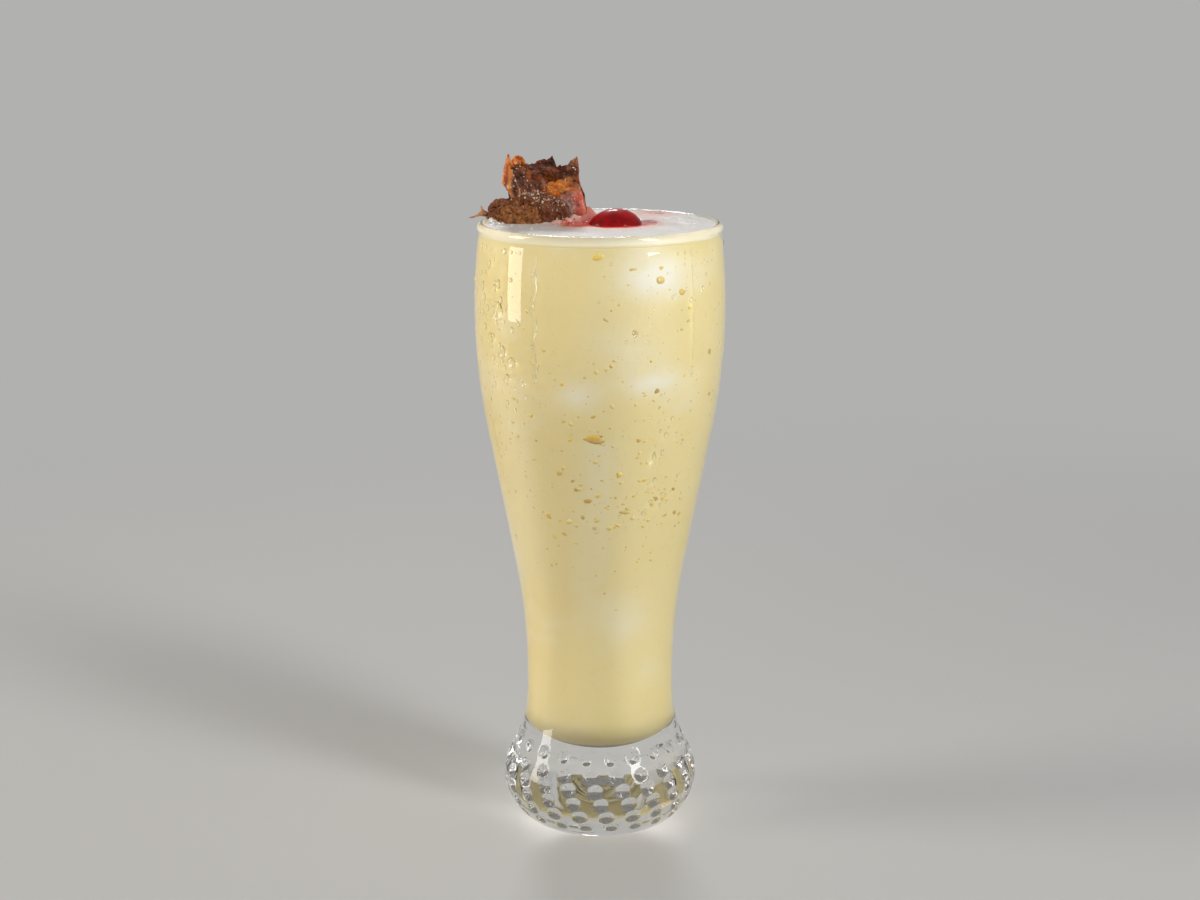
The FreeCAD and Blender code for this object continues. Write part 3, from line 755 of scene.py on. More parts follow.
def foam_material(foam, body):
    """Froth: warm white with fine bubbles and painted shade in their pores, stained pink and red
    by the syrup.
    """
    material, tree = new_material("Foam")
    fine = patches(tree, 300.0, 0.35, 0.70)
    cream = attribute(tree, "cream")
    stain_mask = attribute(tree, "stain")
    shaded_pores = arithmetic(tree, "SUBTRACT", dots(tree, 1300.0, 0.10, 0.22), cream)
    white = blend(tree, fine, foam.white, scaled(foam.white, 0.94))
    # Painted shade: the foam is darker in the pores between the bubbles.
    white = blend(tree, times(tree, shaded_pores, 0.35), white, scaled(foam.white, 0.72))
    white = blend(tree, cream, white, foam.cream)
    white = blend(tree, attribute(tree, "juice"), white, body)
    pink = blend(tree, times(tree, stain_mask, 2.0), white, foam.pink)
    deep = times(tree, arithmetic(tree, "SUBTRACT", stain_mask, 0.5), 2.0)
    relief = arithmetic(tree, "ADD", times(tree, shaded_pores, 0.6), times(tree, fine, 0.4))
    return finished(material, **soft(0.2, 2, 1.4, 1), Base_Color=blend(tree, deep, pink, foam.red),
                    Roughness=spread(tree, stain_mask, 0.42, 0.16),
                    Normal=bump(tree, relief, 0.35, 0.2 * MM))


def bubble_material(foam):
    """Thin wet bubbles."""
    material, tree = new_material("Bubbles")
    film = patches(tree, 800.0, 0.35, 0.65)
    return finished(material, clear=True, Transmission_Weight=0.75, IOR=1.2,
                    Base_Color=blend(tree, film, foam.white, (0.95, 0.94, 0.92)),
                    Roughness=spread(tree, film, 0.02, 0.10))


def cherry_material(cherry):
    """Deep red candied skin under a wet gloss."""
    material, tree = new_material("Cherry skin")
    base = blend(tree, patches(tree, 170.0, 0.42, 0.72), cherry.red, cherry.dark)
    speck = times(tree, dots(tree, 900.0, 0.08, 0.10), 0.35)
    return finished(material, **soft(0.15, 3, 0.4, 0.3), Specular_IOR_Level=0.05,
                    Coat_Weight=0.26, Coat_Roughness=0.02,
                    Base_Color=blend(tree, speck, base, (0.55, 0.05, 0.03)),
                    Roughness=spread(tree, patches(tree, 420.0, 0.4, 0.6), 0.35, 0.50),
                    Normal=bump(tree, patches(tree, 260.0, 0.3, 0.7, 4.0), 0.18, 0.3 * MM))


def syrup_material(cherry):
    """A film of clear red syrup, paler where it thins out."""
    material, tree = new_material("Red syrup")
    base = blend(tree, attribute(tree, "thin"), cherry.syrup, (0.92, 0.36, 0.30))
    streaks = times(tree, patches(tree, 330.0, 0.45, 0.7), 0.5)
    return finished(material, clear=True, Transmission_Weight=0.85, IOR=1.36,
                    Base_Color=blend(tree, streaks, base, (0.92, 0.40, 0.34)),
                    Roughness=spread(tree, streaks, 0.02, 0.09))


def candied_material(fruit):
    """Candied flesh: brown, amber, orange or salmon by zone, under an uneven glaze; dark zones are
    scorched edges and painted shade.
    """
    material, tree = new_material("Candied pineapple")
    # charred holds scorched flesh, and painted shade in deep folds, in the hollows between the
    # tips and at the foot.
    charred = attribute(tree, "burnt")
    mottle = patches(tree, 420.0, 0.36, 0.62, 4.0)
    fibre = patches(tree, 620.0, 0.42, 0.66, 4.0, 0.4)
    gold = times(tree, patches(tree, 260.0, 0.50, 0.64), 0.45)
    tips = blend(tree, gold, fruit.orange, fruit.gold)
    shade = blend(tree, mottle, scaled(fruit.brown, 1.5), scaled(fruit.brown, 0.35))
    for zone, flesh in (
            ("amber", blend(tree, mottle, fruit.amber, scaled(fruit.amber, 0.55))),
            ("orange", blend(tree, fibre, tips, (0.50, 0.075, 0.018))),
            ("salmon", blend(tree, mottle, fruit.salmon, (0.85, 0.33, 0.24)))):
        shade = blend(tree, attribute(tree, zone), shade, flesh)
    # Dark where the flesh is scorched, and painted shade in the folds and hollows.
    shade = blend(tree, arithmetic(tree, "ADD", charred, times(tree, fibre, 0.15)), shade,
                  fruit.dark)
    streaks = times(tree, attribute(tree, "milky"), patches(tree, 520.0, 0.28, 0.52, 3.0, 0.3))
    rough = arithmetic(tree, "MAXIMUM", spread(tree, mottle, 0.22, 0.60),
                       times(tree, charred, 0.75))
    glaze = arithmetic(tree, "SUBTRACT",
                       spread(tree, patches(tree, 210.0, 0.44, 0.60, 2.0), 0.0, 0.45),
                       times(tree, charred, 0.55))
    relief = arithmetic(tree, "ADD", times(tree, fibre, 0.5), times(tree, mottle, 0.5))
    return finished(material, **soft(0.2, 2.0, 0.6, 0.2),
                    Base_Color=blend(tree, times(tree, streaks, 0.85), shade, fruit.milky),
                    Roughness=rough, Coat_Weight=glaze, Coat_Roughness=0.05,
                    Normal=bump(tree, relief, 0.5, 0.3 * MM))


def crumb_material(fruit):
    """Dry fibrous flesh: painted shade in the pits, reddish-brown grains and a few pale threads.
    """
    material, tree = new_material("Dry pineapple fibre")
    crest = attribute(tree, "crest")
    threads = patches(tree, 1100.0, 0.50, 0.64, 4.0, 0.5)
    # Painted shade: the colour in the pits between the grains, where crest is low.
    low = blend(tree, patches(tree, 300.0, 0.35, 0.65), scaled(fruit.brown, 0.6), fruit.dark)
    grain = patches(tree, 230.0, 0.35, 0.65, 2.0)
    high = blend(tree, attribute(tree, "golden"), blend(tree, grain, fruit.crumb, fruit.russet),
                 blend(tree, grain, fruit.crumb, fruit.tan))
    pale = times(tree, times(tree, threads, crest), 0.38)
    return finished(material, Specular_IOR_Level=0.25,
                    Base_Color=blend(tree, pale, blend(tree, crest, low, high), fruit.straw),
                    Roughness=spread(tree, threads, 0.6, 0.9),
                    Normal=bump(tree, threads, 0.5, 0.25 * MM))


def straw_material(fruit):
    """Pale dry fibres, browner at one end."""
    material, tree = new_material("Straw fibre")
    mix = patches(tree, 380.0, 0.35, 0.65, 3.0, 0.5)
    relief = patches(tree, 900.0, 0.4, 0.6, 3.0, 0.3)
    return finished(material, **soft(0.2, 1.2, 0.8, 0.4),
                    Base_Color=blend(tree, mix, fruit.straw, fruit.crumb),
                    Roughness=spread(tree, mix, 0.35, 0.6),
                    Normal=bump(tree, relief, 0.4, 0.15 * MM))


def glaze_material(fruit):
    """Clear amber syrup, golden where it is thin."""
    material, tree = new_material("Amber syrup")
    golden = patches(tree, 260.0, 0.28, 0.52)
    return finished(material, clear=True, Transmission_Weight=0.72, IOR=1.48,
                    Base_Color=blend(tree, golden, fruit.amber, fruit.gold),
                    Roughness=spread(tree, patches(tree, 500.0, 0.4, 0.6), 0.03, 0.14),
                    Normal=bump(tree, patches(tree, 420.0, 0.35, 0.65), 0.4, 0.25 * MM))


def crystal_material():
    """Clear sugar crystals."""
    material, tree = new_material("Sugar")
    frost = patches(tree, 1500.0, 0.4, 0.6)
    return finished(material, Transmission_Weight=0.15, IOR=1.5,
                    Base_Color=blend(tree, frost, (0.92, 0.84, 0.74), (0.84, 0.66, 0.48)),
                    Roughness=spread(tree, frost, 0.05, 0.25))


# --- Operators -------------------------------------------------------------------------------

def dimple_spots(glass):
    """Each ring of dimples as (radius, height, turn) of one of them."""
    key = outline_key(glass)
    rings = []
    for ring in range(glass.dimple_rings):
        lean = glass.dimple_lowest + ring * glass.dimple_step
        spot = arc_points(key["bulge"], glass.bulge_round, lean, lean, 1)[0]
        turn = glass.dimple_phase + (glass.dimple_rings - ring) * glass.dimple_twist
        rings.append((spot[0], spot[1], turn))
    rise = glass.dimple_collar - key["waist"][1]
    radius = key["waist"][0] - math.sqrt(glass.neck_round ** 2 - rise ** 2)
    return [*rings, (radius, glass.dimple_collar, glass.dimple_phase)]


def press_depth(outline, turn, glass):
    """How deep the surface is pressed: the ball's cap under each spot, with a soft edge."""
    pitch = 2 * math.pi / glass.dimple_columns
    depth = np.zeros((len(outline), len(turn)))
    level = glass.dimple_ball - glass.dimple_depth
    radius, height = outline[:, :1], outline[:, 1:]
    for spot_radius, spot_height, spot_turn in dimple_spots(glass):
        away = (turn - spot_turn + pitch / 2) % pitch - pitch / 2
        square = (radius ** 2 + spot_radius ** 2 - 2 * radius * spot_radius * np.cos(away)
                  + (height - spot_height) ** 2)
        cap = np.sqrt(np.clip(glass.dimple_ball ** 2 - square, 0, None)) - level
        soft = (cap + np.sqrt(cap ** 2 + glass.dimple_edge ** 2)) / 2
        depth = np.maximum(depth, np.where(cap > -glass.dimple_ball / 2, soft, 0))
    return depth


class MakeGlass(Operator):
    """Make the tumbler: its outline turned round the axis, with dimples pressed into the base"""
    bl_idname = "pina.glass"
    bl_label = "Tumbler"

    def execute(self, context):
        glass = context.scene.pina_glass
        columns = 16 * glass.dimple_columns
        outline = tumbler_outline(glass)
        rings = turned(outline, columns)
        turn = full_turn(columns)
        outer = len(outer_outline(glass))
        along = np.gradient(outline[:outer], axis=0)
        along /= np.hypot(*along.T)[:, None]
        depth = press_depth(outline[:outer], turn, glass)
        depth *= ramp(outline[:outer, 1], 0.3 * MM, 1.5 * MM)[:, None]
        inward = np.stack([-along[:, 1:] * np.sin(turn), along[:, 1:] * np.cos(turn),
                           along[:, :1] + 0 * turn], -1)
        rings[:outer] += depth[..., None] * inward
        add_piece("glass_tumbler", capped(rings), glass_material(glass), "glass")
        return {"FINISHED"}


# Clouds of coconut cream in the drink: turn, height, width in degrees, tallness and amount.
DRINK_CLOUDS = [
    (24, 189, 17, 6.5, 0.85), (-12, 152, 11, 4.5, 0.75), (2.5, 131.5, 11, 4.2, 1.3),
    (27, 155, 11, 3.6, 0.95), (14, 168, 16, 8, 0.35), (12, 118, 16, 3.5, 0.45),
    (-38, 100, 22, 9, 0.3), (14, 76, 26, 9, 0.35), (150, 140, 30, 9, 0.8),
    (-130, 165, 34, 10, 0.7), (95, 110, 26, 8, 0.7), (-95, 90, 30, 10, 0.5),
]


class MakeDrink(Operator):
    """Make the drink, from the well's floor to the foam, reaching just into the wall"""
    bl_idname = "pina.drink"
    bl_label = "Drink"

    def execute(self, context):
        glass = context.scene.pina_glass
        drink = context.scene.pina_drink
        key = outline_key(glass)
        inset = glass.wall - drink.reach
        columns = 240
        # It ends a little inside the foam.
        level = context.scene.pina_foam.layer + 0.4 * MM
        top = math.asin((level - key["belly"][1]) / (glass.belly_round - inset))
        side = inner_outline(glass, inset, top, 3)[::-1]
        # The top is hidden under the foam: flat, in to the axis.
        flat = np.stack([np.linspace(side[-1, 0], 0, 6), np.full(6, level)], -1)
        shape = capped(turned(polyline(side, flat), columns))
        x, y, z = shape[0].T
        turn = np.degrees(np.arctan2(x, -y))
        uneven = 1 + 0.9 * layered(shape[0], 9 * MM, 4, 15)
        cloudy = 0.3 * ramp(layered(shape[0] * (1, 1, 1.5), 26 * MM, 4, 17), 0.1, 0.5)
        for mid_turn, mid_height, wide, tall, amount in DRINK_CLOUDS:
            aside = (turn - mid_turn + 180) % 360 - 180
            away = np.hypot(aside / wide, (z / MM - mid_height) / tall)
            cloudy = cloudy + amount * uneven * bell(away, 1)
        # Painted shade: the drink grows darker towards the well's floor, over the thick base.
        under = ramp(glass.well_floor + 5 * MM - z, 0, 2.6 * MM)
        add_piece("creamy_drink", shape, drink_material(drink), "drink",
                  attributes={"cloudy": np.clip(cloudy, 0, 1), "under": under})
        return {"FINISHED"}


# Where pulp gathers: turn and height of the middle, spread of each, share of the bits.
PULP_AREAS = [
    (0, 128, 34, 22, 0.30), (-4, 112, 24, 9, 0.14), (22, 116, 16, 6, 0.10),
    (8, 160, 30, 20, 0.12), (35, 186, 14, 8, 0.04), (180, 140, 80, 30, 0.20),
    (-100, 130, 40, 26, 0.10),
]
PULP_LOWEST, PULP_HIGHEST = 62 * MM, 192 * MM
# How far the middle of a bit lies inside the wall's inner face.
PULP_SINK = 0.02 * MM
PULP_THICKEST = 0.50 * MM
# The large bits: turn in degrees, height, width and tallness in millimetres, toastedness.
PULP_LARGE = [
    (-2.6, 138.0, 3.1, 1.6, 0.30), (-1.6, 138.5, 2.0, 0.8, 1.0), (-0.8, 196.0, 1.9, 1.1, 0.0),
    (28.4, 188.3, 1.6, 1.4, 0.1), (40.2, 183.9, 1.3, 1.1, 0.2), (-7.0, 117.0, 1.5, 0.9, 0.5),
    (14.0, 113.0, 1.7, 0.8, 0.35), (-22.0, 126.0, 1.1, 0.9, 0.3), (150.0, 131.0, 2.6, 1.5, 0.5),
    (-120.0, 152.0, 1.9, 1.2, 0.3), (95.0, 118.0, 1.8, 1.1, 0.4),
]


class MakePulp(Operator):
    """Make the bits of pulp that lie against the glass: flattened, uneven balls"""
    bl_idname = "pina.pulp"
    bl_label = "Pulp"

    def execute(self, context):
        glass = context.scene.pina_glass
        drink = context.scene.pina_drink
        rng = np.random.default_rng(11)
        number = drink.pulp_count
        chosen = gathered(rng, PULP_AREAS, number)
        turn = np.radians(chosen[:, 0] + chosen[:, 2] * rng.normal(size=number))
        height = (chosen[:, 1] + chosen[:, 3] * rng.normal(size=number)) * MM
        height = np.clip(height, PULP_LOWEST, PULP_HIGHEST)
        wide = (0.28 + 0.80 * rng.random(number) ** 3) * MM
        tall = wide * rng.uniform(0.5, 1.0, number)
        toasted = 0.6 * rng.random(number) ** 4
        large = np.array(PULP_LARGE) * (math.pi / 180, MM, MM, MM, 1)
        turn, height, wide, tall, toasted = np.concatenate(
            [large.T, [turn, height, wide, tall, toasted]], axis=1)
        ripe = np.concatenate([np.ones(len(large)), rng.random(number) ** 0.8])
        point, out, side, up = wall_frame(glass, turn, height)
        point = point - out * (glass.wall + PULP_SINK)
        thick = np.minimum(0.30 * tall + 0.10 * MM, PULP_THICKEST)
        # The large bits lie flatter and are smoother.
        big = np.arange(len(turn)) < len(large)
        roll = (rng.uniform(-0.7, 0.7, len(turn)) * np.where(big, 0.35, 1.0))[:, None]
        axes = np.stack([wide[:, None] * (side * np.cos(roll) + up * np.sin(roll)),
                         tall[:, None] * (up * np.cos(roll) - side * np.sin(roll)),
                         thick[:, None] * out], 1)
        ball = unit_ball(2)
        rough, toasted, ripe = np.repeat([np.where(big, 0.16, 0.35), toasted, ripe],
                                         len(ball[0]), axis=1)
        shape = uneven_balls(ball, point, axes, lambda spots: rough * noise(spots, 0.5 * MM, 3))
        add_piece("pulp_bits", shape, pulp_material(drink),
                  attributes={"toasted": toasted, "ripe": ripe})
        return {"FINISHED"}


def cherry_place(cherry):
    """Middle of the cherry's thickest part, its radius and the direction to its tip."""
    radius = cherry.radius
    middle = np.array([CHERRY_HIGH.x - radius, CHERRY_HIGH.y - radius, CHERRY_LOW.z + radius])
    flat = math.cos(cherry.rise)
    tip = np.array([-flat * math.cos(cherry.turn), -flat * math.sin(cherry.turn),
                    math.sin(cherry.rise)])
    return middle, radius, tip


# From this height to that the foam counts as pushed up.
PUSHED_UP = (202.0 * MM, 204.0 * MM)
# Syrup in the foam: x, y, width, depth and amount.
STAINS = [
    (15.8, 2.4, 2.8, 4.8, 1.5), (-7.4, -4.0, 4.2, 4.6, 1.6), (19.0, 29.0, 8.0, 8.0, 0.55),
    (6.0, 24.0, 8.0, 9.0, 0.30), (-3.6, 9.0, 4.5, 4.8, 0.9), (-12.0, -1.0, 5.0, 3.0, 0.20),
]


def stain(x, y, foam_z, cherry):
    """How much syrup is in the foam, from 0 to 1: strongest round the cherry, in streaks."""
    middle, radius, tip = cherry_place(cherry)
    along = (x - middle[0]) * tip[0] + (y - middle[1]) * tip[1]
    across = (x - middle[0]) * -tip[1] + (y - middle[1]) * tip[0]
    half = np.where(along > 0, cherry.extent - radius, radius)
    away = np.maximum(np.hypot(along / half, across / radius) - 0.86, 0) * radius
    flat = np.stack([x, y, 0 * x], -1)
    uneven = 1 + 0.5 * layered(flat, 4 * MM, 3, 21)
    total = 0.95 * bell(away / uneven, 2.0 * MM) + 0.20 * bell(away, 9 * MM) * uneven
    for spot_x, spot_y, wide, deep, amount in STAINS:
        reach = np.hypot((x - spot_x * MM) / wide, (y - spot_y * MM) / deep)
        total = total + amount * uneven * bell(reach, 1 * MM)
    # Cream that has been pushed up stays paler.
    return np.clip(total, 0, 1) * (1 - 0.35 * ramp(foam_z, *PUSHED_UP))


def foam_rings(glass, foam, sunk):
    """The foam's rings: level underneath, up inside the wall and the bead, then over its top."""
    columns, rows = 300, 132
    key = outline_key(glass)
    wall_round = glass.belly_round - (glass.wall - sunk)
    bead_round = glass.rim_bead - sunk
    top_wall, bead_low = meeting_angles(key["belly"], wall_round, key["bead"], bead_round)
    low = math.asin((foam.layer - key["belly"][1]) / wall_round)
    wall = arc_points(key["belly"], wall_round, low, top_wall, 14)
    tuck = 0.7 * MM
    tucked = arc_points((wall[0, 0] - tuck, foam.layer), tuck, -math.pi / 2, 0, 10)
    bead_high = math.pi - math.asin((foam.edge - key["bead"][1]) / bead_round)
    bead = arc_points(key["bead"], bead_round, bead_low % (2 * math.pi), bead_high, 8)
    under = np.stack([np.linspace(0, tucked[0, 0], 6), np.full(6, tucked[0, 1])], -1)
    side = turned(polyline(under, tucked, wall, bead), columns)
    radii = bead[-1, 0] * np.linspace(1, 0, rows) ** 0.9
    top = turned(np.stack([radii, 0 * radii], -1), columns)[1:]
    top[..., 2] = foam_height(top[..., 0], top[..., 1], foam)
    return np.concatenate([side, top]), bead[-1, 0]


class MakeFoam(Operator):
    """Make the foam: rings from under it, up the glass and over its uneven top"""
    bl_idname = "pina.foam"
    bl_label = "Foam"

    def execute(self, context):
        foam = context.scene.pina_foam
        # It goes a little further into the wall than the drink, and covers the drink's edge.
        sunk = 1.5 * context.scene.pina_drink.reach
        rings, edge_radius = foam_rings(context.scene.pina_glass, foam, sunk)
        shape = capped(rings)
        points = shape[0]
        amount = stain(points[:, 0], points[:, 1], points[:, 2], context.scene.pina_cherry)
        amount *= points[:, 2] > foam.edge - 1.5 * MM
        reach_out = np.hypot(points[:, 0], points[:, 1])
        cream = np.maximum(ramp(reach_out, edge_radius - 0.5 * MM, edge_radius - 0.1 * MM),
                           points[:, 2] < foam.edge - 0.4 * MM)
        uneven = 0.25 * MM * layered(points, 5 * MM, 3, 77)
        juice = ramp(foam.layer - points[:, 2] + uneven, -0.6 * MM, 0.0)
        material = foam_material(foam, context.scene.pina_drink.body)
        add_piece("foam_top", shape, material, "foam",
                  attributes={"stain": amount, "cream": cream, "juice": juice})
        return {"FINISHED"}


# Where bubbles gather on the foam: x, y, spread and share.
BUBBLE_AREAS = [
    (-35.0, 0.4, 1.3, 0.34), (-33.2, -3.4, 1.8, 0.14), (-24.0, -12.0, 6.0, 0.08),
    (-9.0, -1.0, 3.0, 0.12), (0.0, 0.0, 18.0, 0.22), (22.0, 6.0, 8.0, 0.10),
]
BUBBLE_REACH = 35.6 * MM


class MakeBubbles(Operator):
    """Make the bubbles that stand on the foam"""
    bl_idname = "pina.bubbles"
    bl_label = "Bubbles"

    def execute(self, context):
        foam = context.scene.pina_foam
        rng = np.random.default_rng(23)
        number = foam.bubble_count
        chosen = gathered(rng, BUBBLE_AREAS, number)
        x, y = (chosen[:, :2] + chosen[:, 2:3] * rng.normal(size=(number, 2))).T * MM
        size = (0.16 + 0.6 * rng.random(number) ** 4) * MM
        keep = np.hypot(x, y) < BUBBLE_REACH
        x, y, size = x[keep], y[keep], size[keep]
        centres = np.stack([x, y, foam_height(x, y, foam) - 0.35 * size], -1)
        axes = size[:, None, None] * np.eye(3)[None]
        add_piece("froth_bubbles", scattered(unit_ball(2), centres, axes),
                  bubble_material(foam))
        return {"FINISHED"}


class MakeCherry(Operator):
    """Make the cherry: an egg-shaped outline turned about its length, with faint wrinkles"""
    bl_idname = "pina.cherry"
    bl_label = "Cherry"

    def execute(self, context):
        cherry = context.scene.pina_cherry
        middle, radius, tip = cherry_place(cherry)
        tip_x = cherry.extent - radius - cherry.tip
        drop = radius - cherry.tip
        long_round = (tip_x ** 2 + drop ** 2) / (2 * drop) + cherry.tip
        long_centre = (0.0, radius - long_round)
        joint = math.atan2(-long_centre[1], tip_x)
        # The outline as (towards the tip, out from the length), from the tip to the blunt end.
        outline = polyline(
            arc_points((tip_x, 0), cherry.tip, 0, joint, 14),
            arc_points(long_centre, long_round, joint, math.pi / 2, 60),
            arc_points((0, 0), radius, math.pi / 2, math.pi, 50),
        )
        turn = full_turn(160)
        side = np.array([-tip[1], tip[0], 0.0]) / math.cos(cherry.rise)
        up = np.cross(tip, side)
        ring = np.cos(turn)[:, None] * side + np.sin(turn)[:, None] * up
        rings = middle + outline[:, :1, None] * tip + outline[:, 1:, None] * ring[None]
        out = rings - middle
        wrinkle = (0.16 * MM * layered(rings, 5 * MM, 2, 31)
                   - 0.05 * MM * ridged(rings, 2.4 * MM, 2, 37))
        rings = rings + out / radius * wrinkle[..., None]
        shape = closed_rings(rings[1:-1], rings[0].mean(0), rings[-1].mean(0))
        add_piece("cherry_fruit", shape, cherry_material(cherry), "cherry", merge=True)
        return {"FINISHED"}


class MakeSyrup(Operator):
    """Make the film of syrup round the cherry: the foam's surface, thickened and rounded off"""
    bl_idname = "pina.syrup"
    bl_label = "Syrup"

    def execute(self, context):
        cherry = context.scene.pina_cherry
        foam = context.scene.pina_foam
        middle, radius, _ = cherry_place(cherry)
        columns, rows = 200, 34
        turn = full_turn(columns)
        around = np.stack([np.cos(turn), np.sin(turn), 0 * turn], -1)
        spread_out = radius * (1.22 + 0.14 * noise(around, 0.45, 41)
                               + 0.05 * noise(around, 0.2, 43))
        spread_out += 3.4 * MM * bell(np.angle(np.exp(1j * (turn + 0.12))), 0.24)
        spread_out += 5.6 * MM * bell(np.angle(np.exp(1j * (turn - math.pi - 0.15))), 0.30)
        part = np.linspace(0, 1, rows)[:, None]
        x = middle[0] + part * spread_out * np.cos(turn)
        y = middle[1] + part * spread_out * np.sin(turn)
        level = foam_height(x, y, foam)
        film, sunk = 0.22 * MM, 0.05 * MM
        thick = film * np.sqrt(np.clip(1 - part ** 2, 0, 1)) + 0 * x
        lower = np.stack([x, y, level - thick - sunk], -1)
        upper = np.stack([x, y, level + thick - sunk], -1)[::-1]
        rings = np.concatenate([lower[1:], upper[1:-1]])
        shape = closed_rings(rings, lower[0, 0], upper[-1, 0])
        away = np.concatenate([(part + 0 * x)[1:], (part + 0 * x)[::-1][1:-1]]).ravel()
        thin = ramp(np.concatenate([away, [0, 0]]), 0.72, 1.0)
        add_piece("cherry_syrup", shape, syrup_material(cherry),
                  attributes={"thin": thin})
        return {"FINISHED"}


def sheet_grain(points, up, seed):
    """Fine relief: ridges with grains on them, and deeper folds across near the torn top."""
    grain = (ridged(points, 1.3 * MM, 3, seed + 20) - 0.66
             + 0.25 * (grains(points, 1.6 * MM, seed + 21) - 0.6)
             + 0.20 * (grains(points, 0.7 * MM, seed + 22) - 0.6))
    fold = ridged(points * (0.55, 0.55, 1.5), 1.5 * MM, 2, seed + 23) - 0.7
    return 0.32 * grain + 0.9 * fold * ramp(up, 0.72, 0.92)


def sheet_zones(sheet, x, z, up, middle):
    """How much each zone's look shows at a point: the sum of its bell-shaped spots, uneven."""
    zones = {}
    uneven = 0.25 * layered(middle, 1.8 * MM, 3, sheet["seed"] + 24)
    for zone in ZONES:
        total = np.full(x.shape, float(sheet.get(zone + "_all", 0.0)))
        if zone == "burnt":
            total = total + sheet.get("charred", 0.0) * ramp(up, 0.82, 0.97)
        for spot_x, spot_z, wide, tall, amount in sheet.get(zone, ()):
            away = np.hypot((x - spot_x * MM) / wide, (z - spot_z * MM) / tall)
            total = total + amount * bell(away, MM)
        total = total + uneven * (total > 0.05)
        zones[zone] = np.clip(total, 0, 1).ravel()
    return zones


def petal(sheet):
    """A curled, wrinkled sheet with a torn top, closed all round.

    Across u from -1 to 1 and up v from 0 to 1 the middle of the sheet is
    x = left(v) + (right(v) - left(v)) (u + 1) / 2,  z = bottom + v (crest(x) - bottom),
    y = back - cup u^2 - skew u + lean v + roll v^6 + wrinkles.
    The two faces stand off it by thick sqrt(1 - u^4) (1 - v^6) to either side.
    """
    wide = max(right - left for _, left, right in sheet["sides"])
    tall = max(height for _, height in sheet["crest"]) - sheet["sides"][0][0]
    columns, rows = int(56 + 10 * wide), int(30 + 4 * tall)
    around = full_turn(columns)
    across = -np.cos(around)[None, :]
    up = np.sin(np.linspace(0, 1, rows) * math.pi / 2)[:, None] ** 0.9
    heights, left, right = np.array(sheet["sides"]).T * MM
    foot = heights[0]
    level = foot + up * (heights[-1] - foot)
    x_left = np.interp(level, heights, left)
    x_right = np.interp(level, heights, right)
    x = x_left + (x_right - x_left) * (across + 1) / 2
    crest_x, crest_z = np.array(sheet["crest"]).T * MM
    top = np.interp(x, crest_x, crest_z)
    z = foot + up * (top - foot)
    seed = sheet["seed"]
    spot = np.stack([x, z, 0 * x + seed * MM], -1)
    y = (sheet["back"] - sheet["cup"] * across ** 2 - sheet.get("skew", 0.0) * across
         + sheet["lean"] * up) * MM
    y = y + sheet["roll"] * MM * up ** 6
    y = y + sheet["wrinkle"] * MM * (layered(spot, 4.2 * MM, 3, seed) * (0.4 + 0.6 * up)
                                     + 0.5 * (ridged(spot, 2.0 * MM, 2, seed + 4) - 0.7) * up)
    x = x + 0.35 * MM * layered(spot, 3.0 * MM, 2, seed + 8) * up
    z = z + (0.5 * MM * layered(spot * (1.6, 0.3, 1), 1.3 * MM, 3, seed + 12) * up ** 8)
    middle = np.stack([x, y, z + FOAM_EDGE], -1)
    along_u = np.gradient(middle, axis=1)
    along_v = np.gradient(middle, axis=0)
    sign = np.where(np.sin(around) >= 0, 1.0, -1.0)[None, :, None]
    out = np.cross(along_u * sign, along_v)
    out /= np.linalg.norm(out, axis=2, keepdims=True) + 1e-12
    thick = sheet["thick"] * MM * np.sqrt(np.clip(1 - across ** 4, 0, 1)) * (1 - up ** 6)
    thick = thick * (1 + 0.45 * layered(spot, 2.6 * MM, 3, seed + 16))
    side = np.sin(around)[None, :]
    stand = np.sign(side) * np.abs(side) ** 0.35 * thick
    front = stand > 0
    apart = middle + 0.5 * MM * sign
    solid = ramp(thick, 0.08 * MM, 0.4 * MM)
    stand = stand + np.sign(side) * sheet["grain"] * MM * solid * sheet_grain(apart, up, seed)
    for pit_x, pit_z, size, depth in sheet.get("pits", ()):
        hole = bell(np.hypot(x - pit_x * MM, z - pit_z * MM), size * MM)
        stand = np.where(front, stand - depth * MM * hole, stand)
        middle[..., 1] += np.where(front, 0, 0.4 * depth * MM * hole)
    points = middle + out * stand[..., None]
    zones = sheet_zones(sheet, x, z, up, middle)
    faces = ring_faces(rows, columns).tolist()
    return points.reshape(-1, 3), faces, zones


ZONES = ("amber", "orange", "salmon", "burnt", "milky")
